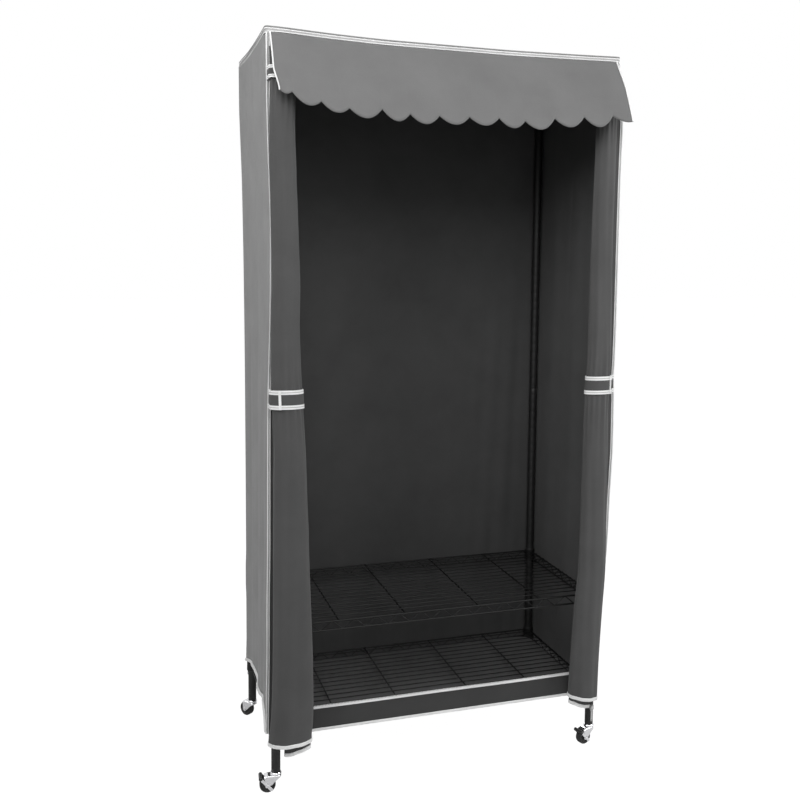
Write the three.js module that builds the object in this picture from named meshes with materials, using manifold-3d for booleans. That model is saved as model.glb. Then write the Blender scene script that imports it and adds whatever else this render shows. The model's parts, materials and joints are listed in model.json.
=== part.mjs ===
// A covered wardrobe on casters: a rack of wire shelves and a hanging rod under a fabric cover,
// whose two front flaps are rolled to the corners and strapped.
// Millimetres; X to the right, Y to the back, Z up from the floor.
import * as THREE from "three";
import { mergeVertices, toCreasedNormals } from "three/addons/utils/BufferGeometryUtils.js";
import Module from "manifold-3d";

const wasm = await Module();
wasm.setup();

// The rack and the cover as a whole.
const rackWidth = 846; // between the post axes
const rackDepth = 396; // between the post axes
const coverHeight = 1800; // floor to the top of the roof
const coverMargin = 22; // post axes to the cover's outer faces
const clearance = 0.3; // between pieces that seat on each other
const cutOverrun = 2; // how far a cutter runs past what it cuts
const quarterTurn = 90;

// Posts, in two lengths joined by a spigot.
const postDiameter = 22;
const postWall = 1.2;
const lowerPostTop = 908;
const spigotLength = 40;
const capHeight = 4;
const capPlugLength = 14;
const postSides = 10;

// Wire shelves: z is measured from the floor to the top of the mat.
const bottomShelfTop = 165;
const middleShelfTop = 413;
const topShelfDrop = 22; // from the top of the posts to the mat
const matWire = 2.8;
const crossWire = 3.2;
const railWidth = 4;
const upperRailHeight = 5.4;
const railProud = 0.4; // how far the upper rail stands past the wires that end in it
const lowerRailHeight = 4;
const trussHeight = 27; // over both rails
const trussPitch = 57;
const zigzagWire = 2.8;
const matPitch = 25.4;
const crossWireShares = [-0.317, -0.116, 0.116, 0.317]; // of the rack's width, from its middle
const sleeveTopWall = 1.2;
const sleeveBottomWall = 2;
const sleeveProud = 4; // how far a sleeve stands out above and below its collar
const collarWall = 1.3;

// Hanging rod, hooked on the lower side wires of the top shelf.
const rodDiameter = 19;
const rodDrop = 32; // from the rail that it hangs on to the rod's axis
const rodHookWidth = 16;
const rodHookPlate = 2.5;

// Casters.
const wheelDiameter = 40;
const wheelWidth = 18;
const wheelSides = 16;
const treadEdge = 2;
const hubDiameter = 15;
const rimDepth = 5;
const dishDepth = 2.5;
const axleDiameter = 5;
const wheelSidePlay = 1;
const wheelTopPlay = 2;
const casterTrail = 20; // from the swivel axis to the axle
const forkPlate = 1.6;
const forkFront = 11.5; // from the swivel axis to the fork's front edge
const forkTip = 6; // radius of the cheeks round the axle
const cupDiameter = 27;
const cupHeight = 6;
const cupBevel = 1.6;
const rivetDiameter = 7;
const rivetHeadDiameter = 10;
const rivetHeadHeight = 2;
const stemLength = 26;
const axleHeadDiameter = 7.6;
const axleHeadHeight = 1;
const brakePlate = 1.2;
const brakeArmWidth = 8;
const brakeTail = 17; // from the axle to the arms' lower ends
const brakeTilt = 47; // degrees that the arms rise towards the pedal
const pedalDiameter = 9;
const swivelTurns = [0.481, 0.548, 0.353, 0.417]; // of a whole turn, in the order of postPlaces

// Cloth.
const cloth = 1.5; // thickness of a panel with its lining
const pipingDiameter = 3.6;
const hemHeight = 148;
const hemShares = [0, 0.07, 0.12, 0.4, 0.57, 0.75, 1]; // of the depth, from the front
const leftHemRises = [10, 47, 56, 58, 67, 42, 12]; // above hemHeight, at those shares
const rightHemRises = [0, -14, -28, -28, -28, -28, -28];
const backHemDrop = 22; // how far the back hangs below hemHeight
const sideFolds = 3;
const foldShare = 0.6; // of the free space between a side panel and the collars
const taperShare = 0.35; // of that space, taken by the lean of the rear edge
const skirtHeight = 58;
const valanceFall = 184; // height from the roof seam to the points between scallops
const valanceLean = 88; // how far forward it stands at that height
const valanceLift = 42; // how much higher its ends hang than its middle
const liftCurves = [3.2, 2.2]; // how late that rise sets in towards the left and the right end
const valanceInset = 7; // how far short of the corner it stops on the left
const scallopDepths = [17, 24]; // at the left and the right end
const firstScallop = 34; // what is left of the first one at the left end
const scallopWidth = 65;
const scallopFacets = 4; // in each scallop
const scallopGrowth = 1.16; // how much wider each is than the last
const flapTurns = [1.55, 1.64]; // of the left and the right roll
const flapStandoff = 2; // from the cover's front plane to the roll
const flapTopDrop = 38; // from the roof seam to the top of the roll
const rollInsets = [5, 12]; // from the cover's sides to the rolls' outer sides at the top
const rollDrifts = [-6, 13]; // how much further in those lie at the hem
const rollWidths = [57, 63]; // at the top
const rollFlares = [42, 34]; // how much wider the rolls are at the hem
const rollCurves = [2, 1]; // how late that widening sets in
const rollDepthMiddle = 41;
const rollDepthFlare = 31;
const rollTightening = 0.62; // how far the last turn lies inside the first, as a share of half the depth
const innerDrop = 18; // how far the rolled-in edge hangs below the hem
const innerDropReach = 150;
const strapHeight = 44;
const strapThickness = 1.2;
const middleStrapTop = 984;
const upperStrapDrop = 78; // from the roof seam to the upper straps
const rollSteps = 11; // facets of one turn of the roll
const tailSteps = 2; // facets between the corner seam and the roll

// Zip slider and pull.
const sliderWidth = 9;
const sliderHeight = 11;
const sliderWall = 1.6;
const sliderGrip = 6; // how far the slider reaches up over the cloth
const earThickness = 1;
const earReach = 3.4; // from the slider's foot to its pin
const zipPinDiameter = 1.6;
const pullBarrelDiameter = 4.2;
const pullBarrelLength = 3.6;
const pullWidth = 6.4;
const pullLength = 29;
const pullThickness = 1.2;
const pullHoleDiameter = 3;

// Places that follow from the sizes.
const halfWidth = rackWidth / 2 + coverMargin;
const halfDepth = rackDepth / 2 + coverMargin;
const panelTop = coverHeight - pipingDiameter - clearance;
const seamInset = (pipingDiameter - cloth) / 2; // the panels hang centred under the roof's piping
const innerHalfWidth = halfWidth - seamInset - cloth - clearance; // what fits between the side panels
const roofUnder = coverHeight - pipingDiameter / 2 - cloth / 2;
const postRadius = postDiameter / 2;
const boreRadius = postRadius - postWall;
const wheelRadius = wheelDiameter / 2;
const axleHeight = wheelRadius * Math.cos(Math.PI / wheelSides);
const forkUnder = axleHeight + wheelRadius + wheelTopPlay;
const forkTop = forkUnder + forkPlate;
const cupUnder = forkTop + clearance;
const postBottom = cupUnder + cupHeight + clearance;
const postTop = roofUnder - clearance - capHeight;
const topShelfTop = postTop - topShelfDrop;
const shelfTops = [bottomShelfTop, middleShelfTop, topShelfTop];
const trussTop = railProud; // from the top of the mat
const trussFoot = railProud - trussHeight;
const collarTop = trussTop - railProud * 2;
const collarFoot = trussFoot - railProud * 2;
const sleeveTopRadius = postRadius + clearance + sleeveTopWall;
const sleeveBottomRadius = postRadius + clearance + sleeveBottomWall;
const collarRadius = sleeveBottomRadius + clearance + collarWall; // at its foot
const sidePlay = coverMargin - seamInset - cloth - collarRadius - clearance;
const postPlaces = [
  ["front_left", -1, -1],
  ["front_right", 1, -1],
  ["rear_left", -1, 1],
  ["rear_right", 1, 1],
];

const paint = (color, roughness, metalness) =>
  new THREE.MeshStandardMaterial({ color, roughness, metalness });
const blackEnamel = paint(0x1b1b1c, 0.45, 0.4);
const chrome = paint(0xc8c8ca, 0.18, 1);
const rubber = paint(0x161616, 0.8, 0);
const blackPlastic = paint(0x1a1a1b, 0.55, 0);
const greyCloth = paint(0x7c7c7c, 0.9, 0);
const darkCloth = paint(0x5a5a5a, 0.9, 0);
const zipMetal = paint(0xa9a9a9, 0.35, 1);

// Welds a geometry's shared vertices, drops collapsed triangles and turns its faces outwards.
function welded(geometry) {
  const bare = new THREE.BufferGeometry();
  bare.setAttribute("position", geometry.getAttribute("position"));
  bare.setIndex(geometry.index);
  const merged = mergeVertices(bare, 1e-4);
  const position = merged.getAttribute("position").array;
  const corners = [];
  for (let i = 0; i < merged.index.count; i += 3) {
    const [a, b, c] = merged.index.array.slice(i, i + 3);
    if (a !== b && b !== c && c !== a) corners.push(a, b, c);
  }
  const at = (k) => new THREE.Vector3().fromArray(position, 3 * k);
  let volume = 0;
  for (let i = 0; i < corners.length; i += 3) {
    volume += at(corners[i]).dot(at(corners[i + 1]).cross(at(corners[i + 2])));
  }
  if (volume < 0) corners.reverse();
  return { position, corners };
}

// A closed geometry as a solid that can be joined and cut.
function solid(geometry) {
  const { position, corners } = welded(geometry);
  return new wasm.Manifold(
    new wasm.Mesh({
      numProp: 3,
      vertProperties: new Float32Array(position),
      triVerts: new Uint32Array(corners),
    }),
  );
}

function joined(geometries) {
  return geometries.map(solid).reduce((whole, piece) => whole.add(piece));
}

function geometryOf(whole) {
  const { vertProperties, triVerts } = whole.getMesh();
  const geometry = new THREE.BufferGeometry();
  geometry.setAttribute("position", new THREE.BufferAttribute(vertProperties, 3));
  geometry.setIndex(new THREE.BufferAttribute(triVerts, 1));
  return toCreasedNormals(geometry, Math.PI / 6);
}

// A named mesh of a plain geometry or of a solid.
function piece(name, shape, material) {
  const whole = shape.isBufferGeometry ? solid(shape) : shape;
  const mesh = new THREE.Mesh(geometryOf(whole), material);
  mesh.name = name;
  return mesh;
}

// A body turned round Z from points of radius and height.
function turned(profile, sides) {
  const points = profile.map(([radius, height]) => new THREE.Vector2(radius, height));
  return new THREE.LatheGeometry(points, sides).rotateX(Math.PI / 2);
}

// A turned ring, whose profile closes on itself.
function turnedRing(profile, sides) {
  return turned([...profile, profile[0]], sides);
}

function rod(radius, length, sides) {
  return new THREE.CylinderGeometry(radius, radius, length, sides).rotateX(Math.PI / 2);
}

// A cylinder whose axis lies along Y, centred on the origin.
function crossRod(radius, length, sides) {
  return new THREE.CylinderGeometry(radius, radius, length, sides);
}

function block(x0, x1, y0, y1, z0, z1) {
  return new THREE.BoxGeometry(x1 - x0, y1 - y0, z1 - z0).translate(
    (x0 + x1) / 2,
    (y0 + y1) / 2,
    (z0 + z1) / 2,
  );
}

// An outline of the X and Z directions, thickened along Y about the plane y.
function upright(shape, y, thickness, curveSegments = 8) {
  return new THREE.ExtrudeGeometry(shape, { depth: thickness, bevelEnabled: false, curveSegments })
    .rotateX(Math.PI / 2)
    .translate(0, y + thickness / 2, 0);
}

// A wire of a many-sided section through points that lie in one plane, mitred at its bends;
// across is the direction square to that plane.
function wire(points, diameter, sides, across) {
  const positions = [];
  const indices = [];
  points.forEach((point, i) => {
    const before = points[Math.max(i - 1, 0)];
    const after = points[Math.min(i + 1, points.length - 1)];
    const along = after.clone().sub(before).normalize();
    const leg = (i ? point.clone().sub(before) : after.clone().sub(point)).normalize();
    const mitre = 1 / leg.dot(along);
    const lift = across.clone().cross(along);
    for (let k = 0; k < sides; k += 1) {
      const turn = (2 * Math.PI * k) / sides;
      const corner = point
        .clone()
        .addScaledVector(across, (diameter / 2) * Math.cos(turn))
        .addScaledVector(lift, (diameter / 2) * mitre * Math.sin(turn));
      positions.push(...corner.toArray());
      if (i) {
        const a = (i - 1) * sides + k;
        const b = (i - 1) * sides + ((k + 1) % sides);
        indices.push(a, b, b + sides, a, b + sides, a + sides);
      }
    }
  });
  const last = (points.length - 1) * sides;
  for (let k = 1; k < sides - 1; k += 1) {
    indices.push(0, k + 1, k, last, last + k, last + k + 1);
  }
  const geometry = new THREE.BufferGeometry();
  geometry.setAttribute("position", new THREE.Float32BufferAttribute(positions, 3));
  geometry.setIndex(indices);
  return geometry;
}

// A cloth panel as a closed solid. face(u, v) is a point of its outer side; the inner side lies one
// thickness behind it, along the surface's own normal. flip turns that normal round.
function panel(face, us, vs, thickness, flip = 1) {
  const positions = [];
  const indices = [];
  const step = 1e-4;
  const rows = vs.length;
  for (const side of [0, 1]) {
    for (const u of us) {
      for (const v of vs) {
        const point = face(u, v);
        const alongU = face(Math.min(u + step, 1), v).sub(face(Math.max(u - step, 0), v));
        const alongV = face(u, Math.min(v + step, 1)).sub(face(u, Math.max(v - step, 0)));
        const normal = alongU.cross(alongV).normalize();
        positions.push(...point.addScaledVector(normal, -flip * side * thickness).toArray());
      }
    }
  }
  const back = us.length * rows;
  const quad = (a, b, c, d) => indices.push(a, b, c, a, c, d);
  for (let i = 0; i < us.length - 1; i += 1) {
    for (let j = 0; j < rows - 1; j += 1) {
      const a = i * rows + j;
      quad(a, a + rows, a + rows + 1, a + 1);
      quad(back + a, back + a + 1, back + a + rows + 1, back + a + rows);
    }
  }
  for (let i = 0; i < us.length - 1; i += 1) {
    const top = i * rows;
    const foot = top + rows - 1;
    quad(top, back + top, back + top + rows, top + rows);
    quad(foot, foot + rows, back + foot + rows, back + foot);
  }
  for (let j = 0; j < rows - 1; j += 1) {
    const end = (us.length - 1) * rows + j;
    quad(j, j + 1, back + j + 1, back + j);
    quad(end, back + end, back + end + 1, end + 1);
  }
  const geometry = new THREE.BufferGeometry();
  geometry.setAttribute("position", new THREE.Float32BufferAttribute(positions, 3));
  geometry.setIndex(indices);
  return geometry;
}

const steps = (count) => Array.from({ length: count + 1 }, (_, i) => i / count);
const smooth = (t) => THREE.MathUtils.smoothstep(t, 0, 1);

// Posts: tubes, the upper ones with a spigot that plugs into the lower ones.
function postTube(bottom, top, spigot) {
  const profile = [
    [postRadius, bottom],
    [postRadius, top],
    [boreRadius, top],
  ];
  if (spigot) {
    const spigotRadius = boreRadius - clearance;
    profile.push([spigotRadius - postWall, bottom], [spigotRadius - postWall, bottom - spigotLength]);
    profile.push([spigotRadius, bottom - spigotLength], [spigotRadius, bottom]);
  } else {
    profile.push([boreRadius, bottom]);
  }
  return turnedRing(profile, postSides);
}

function postCap() {
  const flange = postRadius;
  const crown = flange - capHeight / 2;
  const plug = boreRadius - clearance;
  const top = postTop + capHeight;
  return turned(
    [
      [0, postTop - capPlugLength],
      [plug, postTop - capPlugLength],
      [plug, postTop + clearance],
      [flange, postTop + clearance],
      [crown, top],
      [0, top],
    ],
    postSides,
  );
}

const sleeveTop = collarTop + sleeveProud;
const sleeveFoot = collarFoot - sleeveProud;

// A tapered sleeve, wider below, that clips round the post and wedges in a collar.
function sleeve() {
  const bore = postRadius + clearance;
  return turnedRing(
    [
      [bore, sleeveFoot],
      [sleeveBottomRadius, sleeveFoot],
      [sleeveTopRadius, sleeveTop],
      [bore, sleeveTop],
    ],
    postSides,
  );
}

// The sleeve's taper as a solid cone between two heights, grown by some margin.
function taperCone(foot, top, margin) {
  const radiusAt = (z) => {
    const share = (z - sleeveFoot) / (sleeveTop - sleeveFoot);
    return THREE.MathUtils.lerp(sleeveBottomRadius, sleeveTopRadius, share) + margin;
  };
  return turned(
    [
      [0, foot],
      [radiusAt(foot), foot],
      [radiusAt(top), top],
      [0, top],
    ],
    postSides,
  );
}

// One side of a shelf's frame, along X about the origin: two rails and the zigzag between them.
function truss(span) {
  const bends = 2 * Math.round((span / trussPitch - 1) / 2) + 1;
  const high = trussTop - upperRailHeight;
  const low = trussFoot + lowerRailHeight;
  const half = span / bends / 2;
  const rise = (zigzagWire / 2) * Math.hypot(1, (high - low) / half);
  const legs = steps(2 * bends).map((share, i) => [share * span, i % 2 ? high : low]);
  const upper = legs.map(([x, z]) => new THREE.Vector2(x, z + rise));
  const under = legs.map(([x, z]) => new THREE.Vector2(x, z - rise)).reverse();
  const rail = (foot, top) => block(0, span, -railWidth / 2, railWidth / 2, foot, top);
  const bars = [
    rail(trussFoot, low),
    rail(high, trussTop),
    upright(new THREE.Shape([...upper, ...under]), 0, railWidth),
  ];
  return joined(bars.map((bar) => bar.translate(-span / 2, 0, 0)));
}

// A wire shelf about its own middle, with z = 0 at the top of the mat.
function wireShelf() {
  const x = rackWidth / 2;
  const y = rackDepth / 2;
  const alongX = new THREE.Vector3(1, 0, 0);
  const alongY = new THREE.Vector3(0, 1, 0);
  const parts = [];
  const frames = [];
  for (const side of [-1, 1]) {
    frames.push(truss(rackWidth).translate([0, side * y, 0]));
    frames.push(truss(rackDepth).rotate([0, 0, quarterTurn]).translate([side * x, 0, 0]));
  }
  const matRows = Math.round(rackDepth / matPitch);
  for (let i = 1; i < matRows; i += 1) {
    const row = THREE.MathUtils.lerp(-y, y, i / matRows);
    const ends = [-1, 1].map((side) => new THREE.Vector3(side * x, row, -matWire / 2));
    parts.push(wire(ends, matWire, 4, alongY));
  }
  const crossOffset = -matWire - clearance - crossWire / 2;
  for (const share of crossWireShares) {
    const column = share * rackWidth;
    const ends = [-1, 1].map((side) => new THREE.Vector3(column, side * y, crossOffset));
    parts.push(wire(ends, crossWire, 4, alongX));
  }
  const outer = clearance + collarWall;
  for (const [, sx, sy] of postPlaces) {
    parts.push(taperCone(collarFoot, collarTop, outer).translate(sx * x, sy * y, 0));
  }
  let shelf = frames.reduce((whole, frame) => whole.add(frame), joined(parts));
  for (const [, sx, sy] of postPlaces) {
    const bore = taperCone(collarFoot - cutOverrun, collarTop + cutOverrun, clearance);
    shelf = shelf.subtract(solid(bore.translate(sx * x, sy * y, 0)));
  }
  return shelf;
}

// The hanging rod with a hooked plate at each end, in the top shelf's own frame.
function hangingRod() {
  const reach = rackWidth / 2 - railWidth / 2 - clearance;
  const railTop = trussFoot + lowerRailHeight;
  const axis = trussFoot - rodDrop;
  const half = rodHookWidth / 2;
  const shapes = [rod(rodDiameter / 2, 2 * reach - rodHookPlate, 12).rotateY(Math.PI / 2)];
  shapes[0].translate(0, 0, axis);
  for (const side of [-1, 1]) {
    const span = (x0, x1, z0, z1) =>
      block(Math.min(side * x0, side * x1), Math.max(side * x0, side * x1), -half, half, z0, z1);
    const lipTop = railTop + clearance + rodHookPlate;
    const outer = reach + railWidth + 2 * clearance + rodHookPlate;
    shapes.push(span(reach - rodHookPlate, reach, axis - rodDiameter / 2, lipTop));
    shapes.push(span(reach - rodHookPlate, outer, railTop + clearance, lipTop));
    shapes.push(span(outer - rodHookPlate, outer, trussFoot, lipTop));
  }
  return joined(shapes);
}

// Caster pieces stand about the swivel axis, with the wheel trailing along +X.
function casterStem() {
  const headUnder = forkUnder - clearance - rivetHeadHeight;
  const cupRadius = cupDiameter / 2;
  const cupTop = cupUnder + cupHeight;
  const plug = boreRadius - clearance;
  return turned(
    [
      [0, headUnder],
      [rivetHeadDiameter / 2, headUnder],
      [rivetHeadDiameter / 2, forkUnder - clearance],
      [rivetDiameter / 2, forkUnder - clearance],
      [rivetDiameter / 2, cupUnder],
      [cupRadius - cupBevel, cupUnder],
      [cupRadius, cupUnder + cupBevel],
      [cupRadius - cupBevel / 2, cupTop],
      [plug, cupTop],
      [plug, cupTop + stemLength],
      [0, cupTop + stemLength],
    ],
    postSides,
  );
}

const forkInner = wheelWidth / 2 + wheelSidePlay;
const forkOuter = forkInner + forkPlate;
const armInner = forkOuter + clearance;
const armOuter = armInner + brakePlate;

// The fork: a top plate and two cheeks that narrow to the axle.
function casterFork() {
  const cheek = new THREE.Shape();
  cheek.moveTo(casterTrail + forkTip, forkTop);
  cheek.lineTo(-forkFront, forkTop);
  cheek.lineTo(-forkFront, forkUnder - forkPlate);
  cheek.absarc(casterTrail, axleHeight, forkTip, Math.PI * 1.25, Math.PI * 2, false);
  const axleHole = new THREE.Path();
  axleHole.absarc(casterTrail, axleHeight, axleDiameter / 2 + clearance, 0, 2 * Math.PI);
  cheek.holes.push(axleHole);
  const middle = (forkInner + forkOuter) / 2;
  const shapes = [-1, 1].map((side) => upright(cheek, side * middle, forkPlate, 5));
  shapes.push(
    block(-forkFront, casterTrail + forkTip, -forkOuter, forkOuter, forkUnder, forkTop),
  );
  const rivetHole = rod(rivetDiameter / 2 + clearance, forkPlate + 2 * cutOverrun, postSides);
  rivetHole.translate(0, 0, (forkUnder + forkTop) / 2);
  return joined(shapes).subtract(solid(rivetHole));
}

// The wheel about its own axle, which lies along Y.
function casterWheel() {
  const half = wheelWidth / 2;
  const bore = axleDiameter / 2 + clearance;
  const hub = hubDiameter / 2;
  const rim = wheelRadius - rimDepth;
  const profile = [
    [bore, -half],
    [hub, -half],
    [hub, -half + dishDepth],
    [rim, -half + dishDepth],
    [rim, -half],
    [wheelRadius - treadEdge, -half],
    [wheelRadius, -half + treadEdge],
  ];
  const mirrored = profile.map(([radius, height]) => [radius, -height]).reverse();
  return turnedRing([...profile, ...mirrored], wheelSides)
    .rotateX(Math.PI / 2)
    .rotateY(Math.PI / wheelSides);
}

// An axle about its own middle, headed outside the cheeks, or outside the lever's arms.
function casterAxle(braked) {
  const headIn = (braked ? armOuter : forkOuter) + clearance;
  const headOut = headIn + axleHeadHeight;
  return turned(
    [
      [0, -headOut],
      [axleHeadDiameter / 2, -headOut],
      [axleHeadDiameter / 2, -headIn],
      [axleDiameter / 2, -headIn],
      [axleDiameter / 2, headIn],
      [axleHeadDiameter / 2, headIn],
      [axleHeadDiameter / 2, headOut],
      [0, headOut],
    ],
    8,
  ).rotateX(Math.PI / 2);
}

// The brake lever about the axle: an arm outside each cheek, and a round pedal behind the wheel.
function brakeLever() {
  const half = brakeArmWidth / 2;
  const reach = wheelRadius + clearance + pedalDiameter / 2;
  const arm = new THREE.Shape();
  arm.absarc(half - brakeTail, 0, half, Math.PI / 2, (3 * Math.PI) / 2, false);
  arm.lineTo(reach, -half);
  arm.lineTo(reach, half);
  const axleHole = new THREE.Path();
  axleHole.absarc(0, 0, axleDiameter / 2 + clearance, 0, 2 * Math.PI);
  arm.holes.push(axleHole);
  const middle = (armInner + armOuter) / 2;
  const shapes = [-1, 1].map((side) => upright(arm, side * middle, brakePlate, 5));
  shapes.push(crossRod(pedalDiameter / 2, 2 * armOuter, 10).translate(reach, 0, 0));
  return joined(shapes).rotate([0, -brakeTilt, 0]);
}

// The roof: a flat sheet with piping all round its edge.
function roof() {
  const y = halfDepth - pipingDiameter / 2;
  const x = halfWidth - pipingDiameter / 2;
  const level = coverHeight - pipingDiameter / 2;
  const up = new THREE.Vector3(0, 0, 1);
  const loop = [
    [-x, -y],
    [x, -y],
    [x, y],
    [-x, y],
  ].map(([px, py]) => new THREE.Vector3(px, py, level));
  const sides = loop.map((point, i) => wire([point, loop[(i + 1) % 4]], pipingDiameter, 6, up));
  const corners = loop.map((point) =>
    new THREE.SphereGeometry(pipingDiameter / 2, 6, 4).rotateX(Math.PI / 2).translate(...point.toArray()),
  );
  return joined([block(-x, x, -y, y, level - cloth / 2, level + cloth / 2), ...sides, ...corners]);
}

// How far a side panel hangs inwards of its seam, u from front to back, v downwards.
function sideInset(u, v) {
  const fold = (1 - Math.cos(2 * Math.PI * sideFolds * u)) / 2;
  return sidePlay * (foldShare * fold * Math.sqrt(v) + taperShare * u * v);
}

// A value read between the shares of a table.
function readBetween(shares, values, share) {
  const found = shares.findIndex((each) => each > share);
  const after = found < 0 ? shares.length - 1 : found;
  const part = (share - shares[after - 1]) / (shares[after] - shares[after - 1]);
  return THREE.MathUtils.lerp(values[after - 1], values[after], part);
}

function sidePanel(side) {
  const rises = side < 0 ? leftHemRises : rightHemRises;
  const face = (u, v) => {
    const hem = hemHeight + readBetween(hemShares, rises, u);
    return new THREE.Vector3(
      side * (halfWidth - seamInset - sideInset(u, v)),
      THREE.MathUtils.lerp(-halfDepth, halfDepth, u),
      THREE.MathUtils.lerp(panelTop, hem, v),
    );
  };
  return panel(face, steps(15), steps(4), cloth, -side);
}

function backPanel() {
  const face = (u, v) => {
    const half = innerHalfWidth - sideInset(1, v);
    const fold = (1 - Math.cos(2 * Math.PI * 2 * sideFolds * u)) / 2;
    return new THREE.Vector3(
      THREE.MathUtils.lerp(-half, half, u),
      halfDepth - seamInset - sidePlay * foldShare * fold * v,
      THREE.MathUtils.lerp(panelTop, hemHeight - backHemDrop, v),
    );
  };
  return panel(face, steps(18), steps(2), cloth);
}

function frontSkirt() {
  const front = -halfDepth;
  return block(-innerHalfWidth, innerHalfWidth, front, front + cloth, hemHeight, hemHeight + skirtHeight);
}

// The valance hangs from the roof's front seam and stands forward; its foot is cut in scallops.
function valance() {
  const width = 2 * innerHalfWidth - valanceInset;
  const growth = scallopGrowth / 2;
  const alongAt = (phase) => firstScallop + (scallopWidth + growth * phase) * phase;
  const phaseAt = (along) => {
    const root = Math.sqrt(scallopWidth ** 2 + 4 * growth * (along - firstScallop));
    return (root - scallopWidth) / (2 * growth);
  };
  const face = (u, v) => {
    const side = 2 * u - 1;
    const depth = THREE.MathUtils.lerp(...scallopDepths, u);
    const scallop = depth * Math.abs(Math.sin(Math.PI * phaseAt(u * width)));
    const lift = valanceLift * Math.abs(side) ** liftCurves[side < 0 ? 0 : 1];
    const fall = valanceFall - lift + scallop;
    return new THREE.Vector3(
      innerHalfWidth - width * (1 - u),
      seamInset - halfDepth - (valanceLean / valanceFall) * fall * v,
      panelTop - fall * v,
    );
  };
  const first = Math.ceil(phaseAt(0) * scallopFacets + 0.5);
  const last = Math.floor(phaseAt(width) * scallopFacets - 0.5);
  const columns = [0, 1];
  for (let i = first; i <= last; i += 1) columns.push(alongAt(i / scallopFacets) / width);
  return panel(face, columns.sort((a, b) => a - b), steps(2), cloth, -1);
}

// The valance's inner face at a height, as a distance in front of the cover's front plane.
function roomBehindValance(z) {
  return (valanceLean / valanceFall) * (panelTop - z) - cloth * 1.5;
}

const rollFacets = flapTurns.map((turns) => Math.round(turns * rollSteps));
const flapTop = panelTop - flapTopDrop;
const heightShare = (z) => (z - hemHeight) / (flapTop - hemHeight);

// Width, depth and outer side of a roll at a height: it flares towards the hem and is squeezed
// behind the valance.
function rollSize(side, z) {
  const flare = 1 - THREE.MathUtils.clamp(heightShare(z), 0, 1);
  const i = side < 0 ? 0 : 1;
  const width = rollWidths[i] + rollFlares[i] * flare ** rollCurves[i];
  const outer = halfWidth - rollInsets[i] - rollDrifts[i] * flare ** 2;
  const free = rollDepthMiddle + rollDepthFlare * flare ** 3;
  const depth = Math.min(free, 0.8 * (roomBehindValance(z) - flapStandoff));
  return { width, depth, outer, turns: flapTurns[i] };
}

// A point of the roll's outer side in plan, some turns after its rearmost place, by way of the
// inner side, the front and the outer side; before the first turn it runs in from the corner seam.
function rollPoint(side, z, turns) {
  const { width, depth, outer, turns: lastTurn } = rollSize(side, z);
  const tightening = (rollTightening * (depth / 2)) / lastTurn;
  const middleX = width / 2 - outer - tightening / 4;
  const middleY = -halfDepth - flapStandoff - depth / 2;
  if (turns < 0) {
    const share = (-turns * rollSteps) / tailSteps;
    const x = THREE.MathUtils.lerp(middleX, seamInset - halfWidth, share);
    const y = THREE.MathUtils.lerp(middleY + depth / 2, -halfDepth - clearance, share);
    return new THREE.Vector3(-side * x, y, z);
  }
  const angle = Math.PI * (0.5 - 2 * turns);
  const x = middleX + ((width + tightening) / 2 - tightening * turns) * Math.cos(angle);
  const y = middleY + (depth / 2 - tightening * turns) * Math.sin(angle);
  return new THREE.Vector3(-side * x, y, z);
}

const strapTops = [middleStrapTop, panelTop - upperStrapDrop];
const strapEdges = strapTops.flatMap((top) => [top - strapHeight, top]);

// A rolled flap: the sheet runs from the corner seam behind the roll and winds in on itself.
function rolledFlap(side) {
  const facets = rollFacets[side < 0 ? 0 : 1];
  const tail = tailSteps / rollSteps;
  const turnSpan = tail + facets / rollSteps;
  const shares = [1, 0.6, 0.35, 0.17, 0.08];
  const between = THREE.MathUtils.lerp(strapTops[0], strapTops[1] - strapHeight, 0.5);
  const below = shares.map((share) => THREE.MathUtils.lerp(strapTops[0] - strapHeight, hemHeight, share));
  const levels = [flapTop, ...[...strapEdges, between].sort((a, b) => b - a), ...below.reverse()];
  const vs = levels.map((z) => (flapTop - z) / (flapTop - hemHeight));
  const face = (u, v) => {
    const z = THREE.MathUtils.lerp(flapTop, hemHeight, v);
    const turns = u * turnSpan - tail;
    const point = rollPoint(side, z, turns);
    point.z -= innerDrop * smooth(2 * turns - 1.5) * smooth(1 - (z - hemHeight) / innerDropReach);
    return point;
  };
  return panel(face, steps(tailSteps + facets), vs, cloth, -side);
}

// A strap: from behind the roll round its inner side and its front to its outer side.
function strap(side, top) {
  const foot = top - strapHeight;
  const first = 1;
  const last = Math.round(0.8 * rollSteps);
  const us = steps(last - first);
  const turnAt = (u) => THREE.MathUtils.lerp(first, last, u) / rollSteps;
  const face = (u, v) => {
    const z = THREE.MathUtils.lerp(top, foot, v);
    const step = 1e-3;
    const point = rollPoint(side, z, turnAt(u));
    const ahead = rollPoint(side, z, turnAt(u) + step).sub(rollPoint(side, z, turnAt(u) - step));
    const outward = new THREE.Vector3(ahead.y, -ahead.x, 0).normalize().multiplyScalar(side);
    return point.addScaledVector(outward, clearance + strapThickness);
  };
  return panel(face, us, [0, 1], strapThickness, -side);
}

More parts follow.
